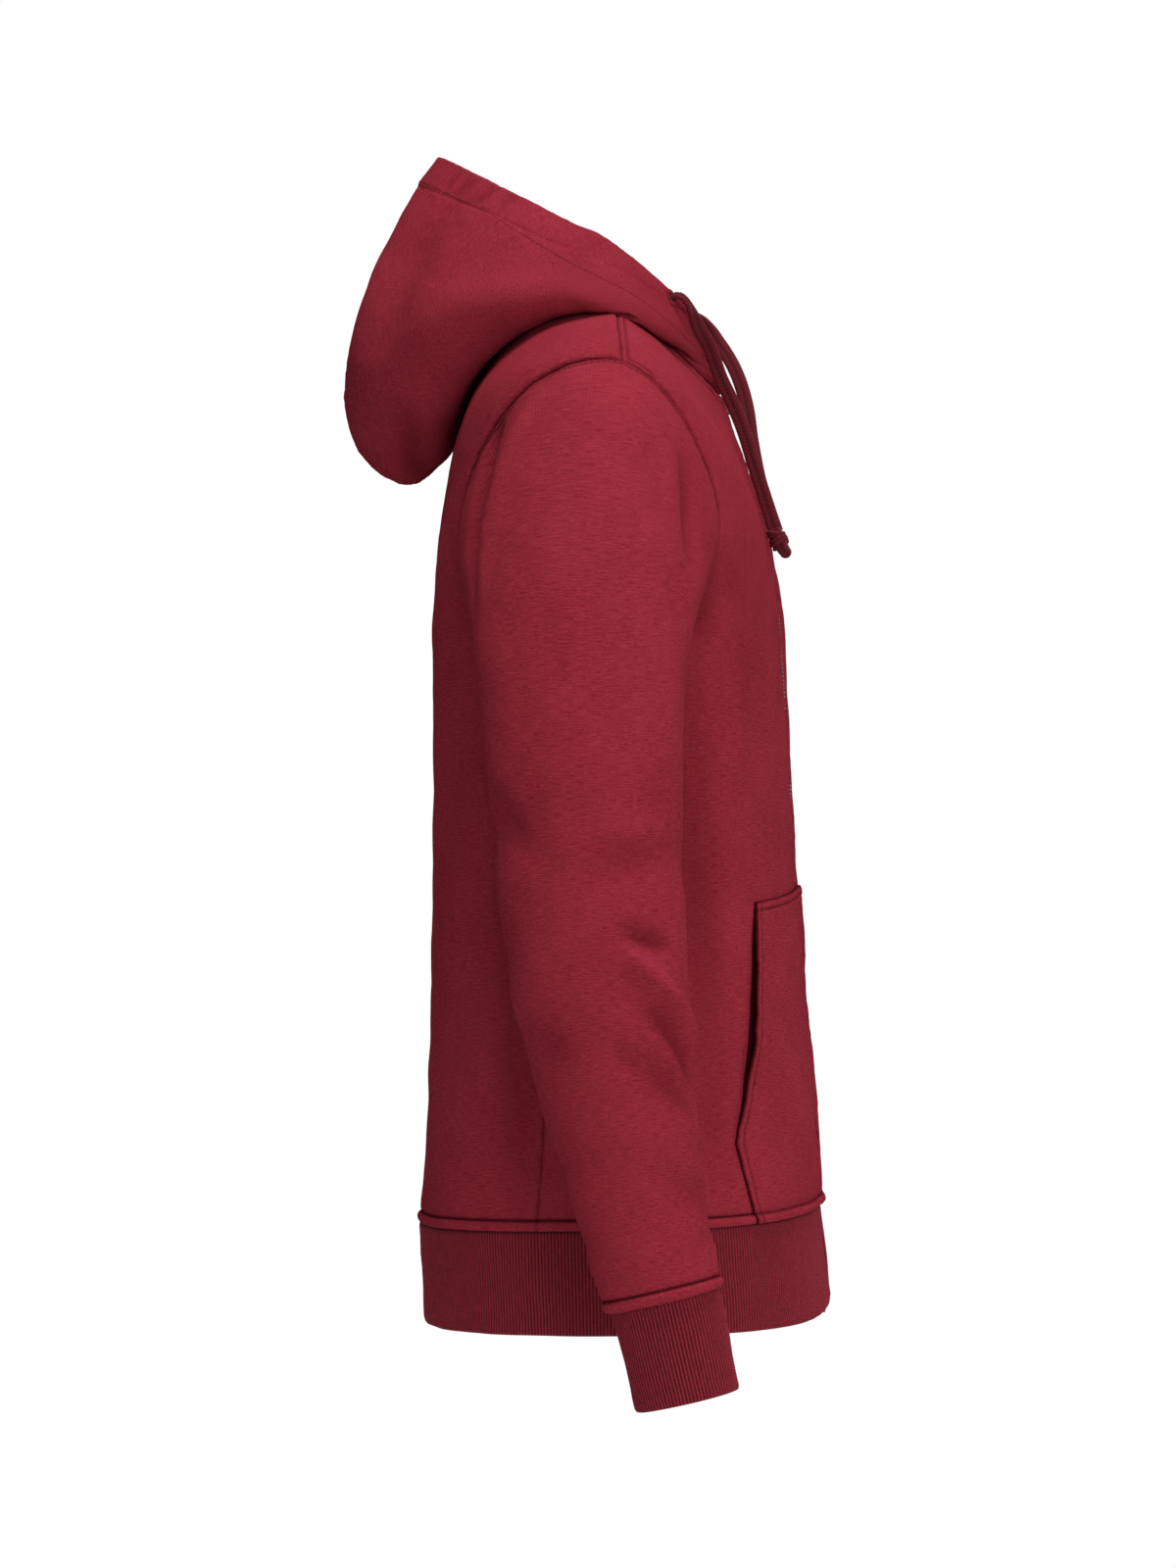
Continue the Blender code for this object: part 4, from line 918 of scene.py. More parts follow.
def bars(name, centre, along, out, size, finish, slot):
    """Small rounded bars in one mesh: a row of centre, along and out for each bar."""
    long, wide, tall = size
    side = unit(np.cross(out, along))
    turn = 2 * np.pi * np.arange(BAR_SIDES) / BAR_SIDES
    rings = []
    for place, share in BAR_RINGS:
        middle = centre + along * long * place
        for angle in turn:
            ray = out * tall / 2 * np.cos(angle) + side * wide / 2 * np.sin(angle)
            rings.append(middle + share * ray)
    points = np.stack(rings, axis=1)
    each = len(BAR_RINGS) * BAR_SIDES
    numbers = np.arange(each).reshape(len(BAR_RINGS), BAR_SIDES)
    quads, caps = grid_faces(numbers, True), np.stack([numbers[0][::-1], numbers[-1]])
    shift = (np.arange(len(centre)) * each)[:, None, None]
    groups = [((quads + shift).reshape(-1, 4), 0), ((caps + shift).reshape(-1, BAR_SIDES), 0)]
    return add_mesh(name, points.reshape(-1, 3), groups, [finish])


def stitches(name, lines, finish):
    """Rows of topstitches, as rounded bars that sit in the cloth."""
    centre, along, out = [], [], []
    for points, ways in lines:
        length = arc_lengths(points)
        count = int(length[-1] / (STITCH_LONG + STITCH_GAP))
        at = (np.arange(count) + 0.5) * length[-1] / count
        here, ahead = (between(at + step, length, points) for step in (-0.5, 0.5))
        up = between(at, length, ways)
        centre.append((here + ahead) / 2 + unit(up) * STITCH_PROUD)
        along.append(unit(ahead - here))
        out.append(unit(up))
    size = (STITCH_LONG, STITCH_THICK, STITCH_THICK * 0.8)
    return bars(name, *(np.concatenate(v) for v in (centre, along, out)), size, finish, "fleece")


# ---------------------------------------------------------------- the body panels
def armhole(turn):
    """The armhole seam as (angle, down). turn: 0 at the shoulder, 180 at the armpit, on to 360 behind."""
    sine, fall = np.sin(np.radians(turn)), (1 - np.cos(np.radians(turn))) / 2
    back = ARMHOLE_BACK * (1 + ARMHOLE_FULL * (1 - fall) ** 3)
    reach = np.where(sine > 0, ARMHOLE_FRONT, back)
    angle = SHOULDER_ANGLE + (ARMPIT_ANGLE - SHOULDER_ANGLE) * fall - reach * sine
    return angle, ARMHOLE_TOP + (ARMHOLE_FOOT - ARMHOLE_TOP) * fall


def side_edge(down, face):
    """The angle of a body panel's outer edge: shoulder seam, armhole, then side seam."""
    fall = rise(down - ARMHOLE_TOP, ARMHOLE_FOOT - ARMHOLE_TOP)
    turn = np.degrees(np.arccos(1 - 2 * fall))
    oval = armhole(turn if face == "front" else 360 - turn)[0]
    shoulder = NECK_POINT_ANGLE + (SHOULDER_ANGLE - NECK_POINT_ANGLE) * down / ARMHOLE_TOP
    share = (down - ARMHOLE_FOOT) / (TORSO[-1].down - ARMHOLE_FOOT)
    side = ARMPIT_ANGLE + (HEM_SIDE_ANGLE - ARMPIT_ANGLE) * share
    return np.where(down < ARMHOLE_TOP, shoulder, np.where(down > ARMHOLE_FOOT, side, oval))


def centre_front(down, rows=TORSO, half=ZIP_HALF + SEAM_GAP):
    width = spline(column(rows, "down"), column(rows, "half_width"), np.asarray(down, float))
    return np.degrees(half / width)


def body_rows():
    """Distances down the body panels."""
    beside_sleeve = armhole(180.0 * np.arange(ARMHOLE_STEPS + 1) / ARMHOLE_STEPS)[1]
    foot = TORSO[-1].down
    parts = [paced(0, ARMHOLE_TOP), beside_sleeve, paced(ARMHOLE_FOOT, POCKET[0].down),
             paced(POCKET[0].down, foot), ridge_rows(foot)]
    rows = np.unique(np.round(np.concatenate(parts), 3))
    return rows[np.concatenate([[True], np.diff(rows) > 0.1])]


def ridge_rows(foot):
    """Distances close together over the ridge at a panel's foot."""
    return foot - RIDGE_TALL * np.linspace(0, 1.1, 12)


def ridge_raise(distance_up):
    share = np.clip(1 - distance_up / RIDGE_TALL, 0, 1)
    return RIDGE_RAISE * np.sin(np.pi * share) ** RIDGE_FULL


def body_shell(angle, down, side):
    middle = torso(angle, down)
    out = outward(torso, angle, down)
    middle, out = mirrored(middle, side), mirrored(out, side)
    made = Shell(middle, out, angle * BODY_DEGREE, down, FLEECE)
    made.fold("torso", torso)
    made.lift += uneven(middle, RUMPLES) * rise(down, BODY_RUMPLES_OVER)
    made.ridge(TORSO[-1].down - down)
    return made


def front_grid():
    """Angles and distances of a front's points, and how many columns its pocket covers."""
    down = body_rows()[:, None]
    edge = side_edge(down, "front")
    start = centre_front(down)
    pocket = np.interp(down, column(POCKET, "down"), column(POCKET, "angle"))
    pocket = np.minimum(pocket, edge * POCKET_LINE_SHARE)
    share_in = paced(0, POCKET_WIDE) / POCKET_WIDE
    share_out = paced(0, SIDE_WIDE)[1:] / SIDE_WIDE
    angle = np.concatenate([
        start + (pocket - start) * share_in, pocket + (edge - pocket) * share_out], axis=1)
    slope = np.concatenate([share_in, 1 - share_out])
    fade = np.interp(down, (ARMHOLE_FOOT, POCKET[0].down, TORSO[-1].down), (0, 1, 0))
    return angle, down + POCKET_TOP_DROP * fade * slope, len(share_in)


def seam_share(rows):
    """How strongly a body panel's outer edge shows, row by row: most at the armhole."""
    beside = (rows > ARMHOLE_TOP) & (rows < ARMHOLE_FOOT)
    shoulder, armhole_seam, side = SEAM_SHOWS
    return np.where(beside, armhole_seam, np.where(rows < ARMHOLE_TOP, shoulder, side))[:, None]


def make_fronts(cloth):
    angle, down, pocket_columns = front_grid()
    shoulder = down[:, -1] < ARMHOLE_TOP - 1
    share = seam_share(down[:, -1])
    under_pocket = (np.arange(angle.shape[1]) < pocket_columns - 3) & (down[:, :1] > POCKET[0].down + 4)
    for side, word in SIDES:
        front = body_shell(angle, down, side)
        front.sew("start", 0.4, FRONT_STITCH, 0.25)
        front.sew("top", 1.3, NECK_STITCH, 0.3)
        away = front.sew("end", 2.0 * share, pucker=0.4, dark=0.9 * share)
        at_shoulder = shoulder[:, None]
        front.groove(away - SHOULDER_STITCH, 0.7 * at_shoulder, 0.9, 0.5 * at_shoulder, 0.9)
        # painted shade on the front under the pocket, where it shows through the mouth
        front.seam += under_pocket
        front.make(f"front_panel_{word}", f"front_{word}", cloth, FRONT_CUT, ["back", f"zip_tape_{word}"])
        stitches(f"front_stitches_{word}", [
            front.stitch_line("start", FRONT_STITCH),
            front.stitch_line("top", NECK_STITCH),
            front.stitch_line("end", SHOULDER_STITCH, shoulder),
        ], cloth.thread)
        make_pocket(word, front, down, pocket_columns, cloth)


def make_pocket(word, front, down, columns, cloth):
    """Half of a kangaroo pocket, moved out from the front's own points."""
    first = int(np.argmin(np.abs(body_rows() - POCKET[0].down)))
    patch = (slice(first, None), slice(0, columns))
    gape = np.interp(down[patch][:, :1], column(POCKET, "down"), column(POCKET, "gape"))
    share = paced(0, POCKET_WIDE) / POCKET_WIDE
    lifted = rise(share - 1 + POCKET_MOUTH_SHARE, POCKET_MOUTH_SHARE) ** POCKET_MOUTH_POWER
    out = front.out[patch]
    base = front.middle[patch] + out * front.lift[patch][..., None]
    ridge = front.raised[patch]
    middle = base + out * (FLEECE + SEAM_GAP + gape * lifted + ridge)[..., None]
    place = front.place.reshape(*front.middle.shape[:2], 2)[patch]
    made = Shell(middle, out, place[..., 0] + POCKET_MAP_ACROSS, place[..., 1], FLEECE)
    # painted shadow line above the hem's ridge
    made.seam += 0.7 * bump(TORSO[-1].down - down[patch] - RIDGE_TALL, 0.9)
    edges = (("top", 0.5, POCKET_STITCH, 0.3), ("end", 0.3, POCKET_STITCH, 0.35),
             ("start", 0.4, FRONT_STITCH, 0.2))
    for edge, sink, stitch, pucker in edges:
        made.sew(edge, sink, stitch, pucker)
    made.finish_edge("foot")
    made.make(f"pocket_panel_{word}", f"pocket_{word}", cloth, POCKET_CUT, [f"front_panel_{word}"])
    lines = [made.stitch_line(edge, stitch) for edge, _, stitch, _ in edges]
    stitches(f"pocket_stitches_{word}", lines, cloth.thread)


def make_back(cloth):
    down = body_rows()[:, None]
    edge = side_edge(down, "back")
    share = paced(0, BACK_WIDE)[None, :] / BACK_WIDE
    angle = edge + (360 - 2 * edge) * share
    panel = body_shell(angle, np.broadcast_to(down, angle.shape), -1)
    panel.sew("top", 1.3, NECK_STITCH, 0.3)
    share_down = seam_share(down[:, 0])
    for side in ("start", "end"):
        panel.sew(side, 2.0 * share_down, pucker=0.4, dark=0.9 * share_down)
    panel.make("back_panel", "back", cloth, BACK_CUT, ["front_panel_right", "front_panel_left"])
    stitches("back_neck_stitches", [panel.stitch_line("top", NECK_STITCH)], cloth.thread)


# ---------------------------------------------------------------- the sleeves
def tube_frame(rows, along):
    key = column(rows, "along")

    def centre(at):
        return np.stack([spline(key, column(rows, axis), at) for axis in "xyz"], axis=-1)

    behind, ahead = (np.clip(along + step, key[0], key[-1]) for step in (-SLOPE_STEP, SLOPE_STEP))
    line = unit(centre(ahead) - centre(behind))
    front = unit(np.array([0, -1, 0]) + line * line[..., 1:2])
    return centre(along), unit(np.cross(line, front)), front


def tube_point(rows, turn, along):
    """Cloth of a sleeve or cuff. turn: 0 on the outside, 90 in front, 180 by the body."""
    turn, along = spread(turn, along)
    centre, out, front = tube_frame(rows, along)
    key = column(rows, "along")
    half_out = spline(key, column(rows, "half_out"), along)
    half_deep = spline(key, column(rows, "half_deep"), along)
    return (
        centre
        + out * (half_out * np.cos(np.radians(turn)))[..., None]
        + front * (half_deep * np.sin(np.radians(turn)))[..., None]
    )


def sleeve(turn, along):
    """Cloth of a sleeve. Below 0, along runs back from the biceps to the armhole seam."""
    turn, along = spread(turn, along)
    seam = torso(*armhole(turn % 360))
    end = tube_point(SLEEVE, turn, 0.0)
    span = np.linalg.norm(end - seam, axis=-1, keepdims=True)
    leave = np.array(SLEEVE_LEAVES) * span
    arrive = unit(tube_point(SLEEVE, turn, SLOPE_STEP) - end) * span
    t = np.clip(1 + along / SLEEVE_HEAD, 0, 1)[..., None]
    head = bridge(seam, end, leave, arrive, t)
    return np.where(along[..., None] < 0, head, tube_point(SLEEVE, turn, np.maximum(along, 0)))


def tube_normals(points):
    along = np.gradient(points, axis=0)
    across = np.roll(points, -1, axis=1) - np.roll(points, 1, axis=1)
    return unit(np.cross(along, across))


def make_sleeves(cloth):
    turn = (180 + 360.0 * np.arange(SLEEVE_COLUMNS) / SLEEVE_COLUMNS)[None, :]
    foot = SLEEVE[-1].along
    along = np.unique(np.concatenate([
        paced(-SLEEVE_HEAD, foot, SLEEVE_GRAIN), ridge_rows(foot)]))[:, None]
    points = sleeve(turn, along)
    cuff_top = tube_point(CUFF, turn[0], 0.0)
    narrow = np.clip(1 - (foot - along) / (RIDGE_TALL * CUFF_TUCK), 0, 1)[..., None]
    points = points + (cuff_top - points) * narrow
    out = tube_normals(points)
    seam_out = outward(torso, *armhole(turn[0]))
    square = rise(along + SLEEVE_HEAD, SLEEVE_SETTLES)[..., None]
    out = unit(seam_out * (1 - square) + out * square)
    out[-1] = unit(cuff_top - cuff_top.mean(axis=0))
    level = np.apply_along_axis(np.cumsum, 0, np.linalg.norm(np.gradient(points, axis=0), axis=-1))
    level += SLEEVE_MAP_DOWN - level[np.abs(along).argmin()]  # the grain runs straight up into the cap
    for side, word in SIDES:
        middle = mirrored(points, side)
        made = Shell(middle, mirrored(out, side), turn * SLEEVE_DEGREE, level, FLEECE, tube=True)
        made.fold("sleeve", sleeve, rise(along + SLEEVE_HEAD, SLEEVE_FOLDS_OVER))
        made.lift += uneven(middle, RUMPLES) * rise(along + SLEEVE_HEAD, SLEEVE_RUMPLES_OVER)
        made.ridge(foot - along)
        made.sew("top", 1.8, ARMHOLE_STITCH, 0.45)
        made.finish_edge("foot")
        made.make(f"sleeve_panel_{word}", f"sleeve_{word}", cloth, SLEEVE_CUT,
                  [f"front_panel_{word}", "back_panel"])
        stitches(f"armhole_stitches_{word}", [made.stitch_line("top", ARMHOLE_STITCH)], cloth.thread)


# ---------------------------------------------------------------- ribbed bands
def even_values(curve, low, high, count):
    """Values between low and high that lie evenly along a curve, and the curve's length."""
    fine = np.linspace(low, high, 2001)
    length = arc_lengths(curve(fine))
    return np.interp(np.linspace(0, length[-1], count), length, fine), length[-1]


def ribbed_band(name, node, grid_of, low, high, foot, tube, finish, seed):
    """A rib-knit band. grid_of gives points and outward directions for (values, distances)."""

    def half_way_down(values):
        return grid_of(values[None, :], np.array([[foot / 2]]))[0][0]

    length = even_values(half_way_down, low, high, 2)[1]
    ribs = int(round(length / RIB_PITCH))
    count = ribs * RIB_POINTS + (0 if tube else 1)
    values = even_values(half_way_down, low, high, ribs * RIB_POINTS + 1)[0][:count]
    down = paced(0, foot, RIB_ROWS, RIB_EDGE_STEPS)[:, None]
    points, out = grid_of(values[None, :], down)
    step = np.arange(count) % RIB_POINTS
    crown = np.broadcast_to((0.5 - 0.5 * np.cos(2 * np.pi * step / RIB_POINTS)) ** 0.8, points.shape[:2])
    depth = np.clip(down / 3.0, 0.3, 1) * np.clip((foot - down) / 2.5, 0.25, 1)
    waves = uneven(points, ((0.8, 60, seed), (0.25, 22, seed + 1)))
    lift = waves * rise(down, RIB_WAVES_OVER)
    share = np.clip(np.minimum(down + 0.1, foot - down) / (RIB_CLOTH / 2), 0.03, 1)
    full = quarter_round(share) * RIB_CLOTH / 2
    outer = points + out * (lift + full + RIB_RAISE * crown * depth - 0.3)[..., None]
    inner = (points + out * (lift - full)[..., None])[:, ::RIB_POINTS]
    rows = len(down)
    front = np.arange(rows * count).reshape(rows, count)
    behind = front.size + np.arange(inner[..., 0].size).reshape(inner.shape[:2])
    groups = [(grid_faces(front, tube), 0), (grid_faces(behind, tube)[:, ::-1], 1)]
    for row, turned in ((0, -1), (rows - 1, 1)):
        rim, base = looped(front[row], tube), looped(behind[row], tube)
        across = np.array([
            [*rim[k * RIB_POINTS:(k + 1) * RIB_POINTS + 1], base[k + 1], base[k]] for k in range(ribs)])
        groups.append((across[:, ::turned], 0))
    if not tube:
        groups.append((strip(front[:, 0], behind[:, 0]), 0))
        groups.append((strip(front[:, -1], behind[:, -1])[:, ::-1], 0))
    whole = np.concatenate([outer.reshape(-1, 3), inner.reshape(-1, 3)])
    across_mm = np.broadcast_to((values - low) / (high - low) * length, points.shape[:2])
    place = np.stack([across_mm, np.broadcast_to(down, points.shape[:2])], axis=-1)
    place = np.concatenate([place.reshape(-1, 2), place[:, ::RIB_POINTS].reshape(-1, 2)])
    # painted shadow at the band's top, under the ridge
    dark = bump(down, 1.6) * np.ones(count)
    fields = {
        "crown": np.concatenate([crown.ravel(), np.full(inner[..., 0].size, 0.5)]),
        "seam": np.concatenate([dark.ravel(), np.zeros(inner[..., 0].size)]),
    }
    made = add_mesh(name, whole, groups, [finish, finish], place, fields, length * tube)
    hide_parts(node)
    return made, length


def make_hem(finish):
    start = float(centre_front(0, HEM))

    def grid_of(values, down):
        points = hem_band(values, down)
        from_zip = np.where(points[..., 1] < 0, np.abs(points[..., 0]), np.inf)
        for rise, reach in HEM_RISES:
            points[..., 2] += rise * bump(from_zip, reach) * (down / HEM[-1].down) ** 2
        return points, outward(hem_band, values, down)

    foot = float(HEM[-1].down)
    made, length = ribbed_band(
        "hem_band", "hem_rib", grid_of, start, 360 - start, foot, False, finish, 21)
    length * MM


def make_cuffs(finish):
    foot = float(CUFF[-1].along)
    line = tube_frame(CUFF, np.array(foot))[0] - tube_frame(CUFF, np.array(0.0))[0]
    for side, word in SIDES:

        def grid_of(values, down, side=side):
            points = tube_point(CUFF, values, down)
            tangent = tube_point(CUFF, values + 1, down) - tube_point(CUFF, values - 1, down)
            return mirrored(points, side), mirrored(unit(np.cross(line, tangent)), side)

        made, length = ribbed_band(
            f"cuff_band_{word}", f"cuff_{word}", grid_of, 180.0, 540.0, foot, True, finish, 31)
        length * MM


# ---------------------------------------------------------------- the hood
def rest_on_body(points, clearance):
    """Points moved out, where they need it, so that they lie on the body cloth."""
    angle = np.arange(0, 360, BODY_STEPS[0])[None, :]
    down = np.arange(0, BODY_REACH, BODY_STEPS[1])[:, None]
    cloth = torso(angle, down).reshape(-1, 3)
    out = outward(torso, angle, down).reshape(-1, 3)
    flat = points.reshape(-1, 3)
    nearest = np.argmin(np.linalg.norm(flat[:, None] - cloth[None], axis=-1), axis=1)
    height = np.sum((flat - cloth[nearest]) * out[nearest], axis=-1)
    lift = np.maximum(clearance.reshape(-1) - height, 0)
    return (flat + out[nearest] * lift[:, None]).reshape(points.shape)


def casing(angle):
    """How far from the rim the stitches are that close the drawcord's casing."""
    return np.interp(np.minimum(angle, 360 - angle), *CASING_TURNS)


def hood_angles(rows, share):
    """Angles from one edge of the hood's opening round to the other."""
    start = centre_front(rows, HOOD, HOOD_OPENS)
    return start + (360 - 2 * start) * share


def hood_shell():
    """The whole hood as one fine shell, from the collar seam to the rim."""
    rows = np.array(HOOD_ROWS, float)[:, None]
    share = np.linspace(0, 1, HOOD_COLUMNS + 1)
    angle = hood_angles(rows, share)
    free = rise(rows - HOOD_SQUARE, HOOD_RESTS_OVER)
    clearance = np.where(rows > HOOD_SQUARE, (HOOD_CLOTH + FLEECE) / 2 + HOOD_REST * free, -np.inf)
    coarse = rest_on_body(hood(angle, rows), np.broadcast_to(clearance, angle.shape))
    rim = HOOD[-1].down
    up = np.unique(np.concatenate([paced(0, rim, HOOD_GRAIN), rim - CASING + np.linspace(-4, 4, 9)]))
    half = paced(0, HOOD_HALF, HOOD_GRAIN * 0.75) / (2 * HOOD_HALF)
    fine_share = np.unique(np.round(np.concatenate([half, 1 - half]), 6))
    middle = spline(np.array(HOOD_ROWS, float), coarse, up)
    middle = spline(share, middle.swapaxes(0, 1), fine_share).swapaxes(0, 1)
    out = -unit(np.cross(np.gradient(middle, axis=1), np.gradient(middle, axis=0)))
    fine_angle = hood_angles(up[:, None], fine_share)
    square = rise(up[:, None], HOOD_SQUARE)[..., None]
    out = unit(outward(torso, fine_angle, 1.0) * (1 - square) + out * square)
    return middle, out, fine_angle, up[:, None], int(np.argmin(np.abs(fine_share - 0.5)))


def make_hood(cloth):
    middle, out, angle, up, centre = hood_shell()
    for part, word, seam_edge, edge in (
        (slice(0, centre + 1), "right", "end", "start"),
        (slice(centre, None), "left", "start", "end"),
    ):
        half = middle[:, part]
        made = Shell(half, out[:, part], up, angle[:, part] * HOOD_DEGREE, HOOD_CLOTH)
        made.fold("hood", hood, rise(up, HOOD_FOLDS_OVER))
        made.lift += uneven(half, RUMPLES) * rise(up, HOOD_RUMPLES_OVER)
        made.sew("top", 1.0, pucker=0.25)
        made.sew(seam_edge, 1.2, HOOD_STITCH, 0.35)
        made.finish_edge(edge)
        made.finish_edge("foot")
        wide = casing(angle[:, part])
        from_rim = HOOD[-1].down - up
        made.lift += CASING_HIGH * bump(from_rim - wide / 2, wide / 2.6)
        made.groove(from_rim - wide, *CASING_GROOVE)
        made.lift += CASING_PUCKER * uneven(half, CASING_PUCKERS) * bump(from_rim - wide, CASING_REACH)
        made.make(f"hood_panel_{word}", f"hood_{word}", cloth, HOOD_CUT,
                  ["back_panel", f"front_panel_{word}"])
        stitches(f"hood_stitches_{word}", [
            made.stitch_line("foot", casing(angle[0, part])),
            made.stitch_line(seam_edge, HOOD_STITCH),
        ], cloth.thread)


# ---------------------------------------------------------------- zip
def zip_line():
    """Points and outward directions down the middle of the zip."""
    upper, lower = np.arange(1.0, TORSO[-1].down, 2.0), np.arange(0.5, HEM[-1].down, 2.0)
    points = np.concatenate([torso(0.0, upper), hem_band(0.0, lower)])
    return points, np.concatenate([outward(torso, 0.0, upper), outward(hem_band, 0.0, lower)])


TOOTH_PITCH = 1.4
TOOTH_SIZE = (3.5, 1.0, 1.5)
TOOTH_OFF = 0.85  # from the middle of the zip to the middle of a tooth
TOOTH_LEAN = 0.22
TEETH_END = 9  # above the zip's foot
BOX_SIZE = (9.0, 7.4, 2.6)
BOX_UP = 3.2


def make_teeth(coil, metal):
    points, out = zip_line()
    length = arc_lengths(points)
    at = np.arange(TOOTH_PITCH, length[-1] - TEETH_END, TOOTH_PITCH)
    centre = between(at, length, points)
    ways = unit(between(at, length, out))
    side = np.where(np.arange(len(at)) % 2 == 0, -1.0, 1.0)[:, None]
    down = unit(np.gradient(centre, axis=0))
    across = np.array([1.0, 0, 0]) * side
    centre = centre + across * TOOTH_OFF
    along = unit(across + down * TOOTH_LEAN)
    made = bars("zip_coil_teeth", centre, along, ways, TOOTH_SIZE, coil, "zip_coil")
    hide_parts("zip_teeth")
    foot = points[-1] + (points[-3] - points[-1]) * 0.5
    place = foot + np.array([0, 0, BOX_UP]) + out[-1] * 0.2
    bars("zip_bottom_box", place[None], np.array([[0, 0, 1.0]]), out[-1:], BOX_SIZE, metal, "zip_metal")


# ---------------------------------------------------------------- cords, knots and eyelets
BRAID_GROOVE = 0.16  # its width, as a share of half the braid's
BRAID_PITCH = 2.6


def ribbon(name, path, wide_way, half_wide, half_thick, finish, sides=28, round_end=0.0,
           narrow=1.0):
    """A flat braid along a path, with a groove down its middle and plaited ridges on its faces.
    narrow is its width at each point, as a share of the full one."""
    length = arc_lengths(path)
    along = unit(np.gradient(path, axis=0))
    wide = unit(wide_way - along * np.sum(wide_way * along, axis=1, keepdims=True))
    thick = np.cross(along, wide)
    turn = 2 * np.pi * np.arange(sides) / sides
    u = np.sign(np.cos(turn)) * np.abs(np.cos(turn)) ** 0.8
    v = np.sign(np.sin(turn)) * np.abs(np.sin(turn)) ** 0.75
    groove = 0.32 * bump(u, BRAID_GROOVE)
    plait = 0.5 + 0.5 * np.sin(2 * np.pi * (length[:, None] / BRAID_PITCH + np.abs(u)[None, :] * 0.9))
    lobes = 0.5 + 0.5 * np.cos(4 * np.pi * (np.abs(u) - 0.5))
    relief = 0.5 * (plait - 0.5)
    full = np.ones(len(path))
    if round_end:
        full = quarter_round(np.clip((length[-1] - length) / round_end, 0.02, 1))
    points = (
        path[:, None]
        + wide[:, None] * ((full * narrow)[:, None] * u * half_wide)[..., None]
        + thick[:, None] * (full[:, None] * (half_thick * (1 - groove) + relief) * v)[..., None]
    )
    numbers = np.arange(points[..., 0].size).reshape(points.shape[:2])
    hub = numbers.size
    fans = []
    for ring, centre, turned in ((numbers[0], hub, -1), (numbers[-1], hub + 1, 1)):
        fan = np.stack([ring, np.roll(ring, -1), np.full(sides, centre)], axis=1)
        fans.append((fan[:, ::turned], 0))
    # crown: painted shade in the middle groove and between the plaits
    crown = np.clip(0.35 + 0.5 * plait * (0.6 + 0.4 * lobes) - 0.45 * bump(u, BRAID_GROOVE), 0, 1)
    whole = np.concatenate([points.reshape(-1, 3), path[:1], path[-1:]])
    fields = {"crown": np.concatenate([crown.ravel(), [0.3, 0.3]])}
    groups = [(grid_faces(numbers, True), 0), *fans]
    return add_mesh(name, whole, groups, [finish], None, fields)


def smooth_path(route):
    """A fine line through a cord's route."""
    key = np.arange(len(route), dtype=float)
    rows = np.stack([column(route, axis) for axis in "xyz"], axis=-1)
    fine = spline(key, rows, np.linspace(0, key[-1], 400))
    return evenly(fine, FINE_STEP)


KNOT_DOWN = 8.5  # from the cord's end to the middle of its knot
KNOT_WRAPS = ((-3.4, 20.0), (0.6, -14.0))  # each wrap's place down the knot, and its tilt in degrees
KNOT_ROUND = (4.9, 4.2)
KNOT_BRAID = (2.6, 1.6)
KNOT_STUB = (4.2, 3.7)
KNOT_STUB_RUN = (-8.0, 11.5)  # from above the knot's middle to the end below it
KNOT_STUB_BEND = 0.006
KNOT_STEPS = 60
KNOT_STUB_STEPS = 24


def make_knot(word, path, finish):
    """An overhand knot: two tight wraps round the cord, and its rounded end below them."""
    fall = unit(path[-1] - path[-6])
    side = unit(np.cross(fall, [1.0, 0, 0]))
    flat = np.cross(side, fall)
    centre = path[-1] + fall * KNOT_DOWN
    turn = np.linspace(0, 2 * np.pi, KNOT_STEPS)[:, None]
    made = []
    for number, (down, tilt) in enumerate(KNOT_WRAPS):
        lean = np.tan(np.radians(tilt)) * KNOT_ROUND[0]
        loop = (
            centre + fall * down
            + side * KNOT_ROUND[0] * np.cos(turn)
            + flat * KNOT_ROUND[1] * np.sin(turn)
            + fall * lean * np.cos(turn)
        )
        made.append(ribbon(f"knot_wrap_{number}_{word}", loop, np.tile(fall, (KNOT_STEPS, 1)),
                           *KNOT_BRAID, finish, sides=16))
    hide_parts(f"knot_{word}")
    run = np.linspace(*KNOT_STUB_RUN, KNOT_STUB_STEPS)[:, None]
    through = centre + fall * run + side * KNOT_STUB_BEND * (run - KNOT_STUB_RUN[0]) ** 2
    made.append(ribbon(f"knot_end_{word}", through, np.tile(side, (KNOT_STUB_STEPS, 1)),
                       *KNOT_STUB, finish, sides=20, round_end=4.0))
    return made


def make_cord(side, word, route, finish):
    path = smooth_path(route)
    length = arc_lengths(path)
    ahead = unit(np.gradient(path, axis=0))
    on_hood = np.cross(EYELET_OUT * [side, 1, 1], ahead) * -side
    hanging = np.cross(ahead, [1.0, 0, 0])
    share = rise(length - CORD_TURNS[0], CORD_TURNS[1] - CORD_TURNS[0])[:, None]
    share = share * share * (3 - 2 * share)
    way = unit(on_hood) * (1 - share) + unit(hanging) * share
    narrow = np.interp(length, *CORD_NARROWS)
    cord = ribbon(f"drawcord_{word}", path, way, CORD_WIDE / 2, CORD_THICK / 2, finish, narrow=narrow)
    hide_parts(f"cord_{word}")
    make_knot(word, path, finish)


EYELET_RING = 4.7
EYELET_THREADS = 30
EYELET_THREAD_SIZE = (3.0, 1.05, 1.5)
EYELET_HOLE_SIZE = (0.9, 7.0, 7.0)
EYELET_SINK = 0.5
EYELET_HOLE_SINK = 0.2  # below the ring


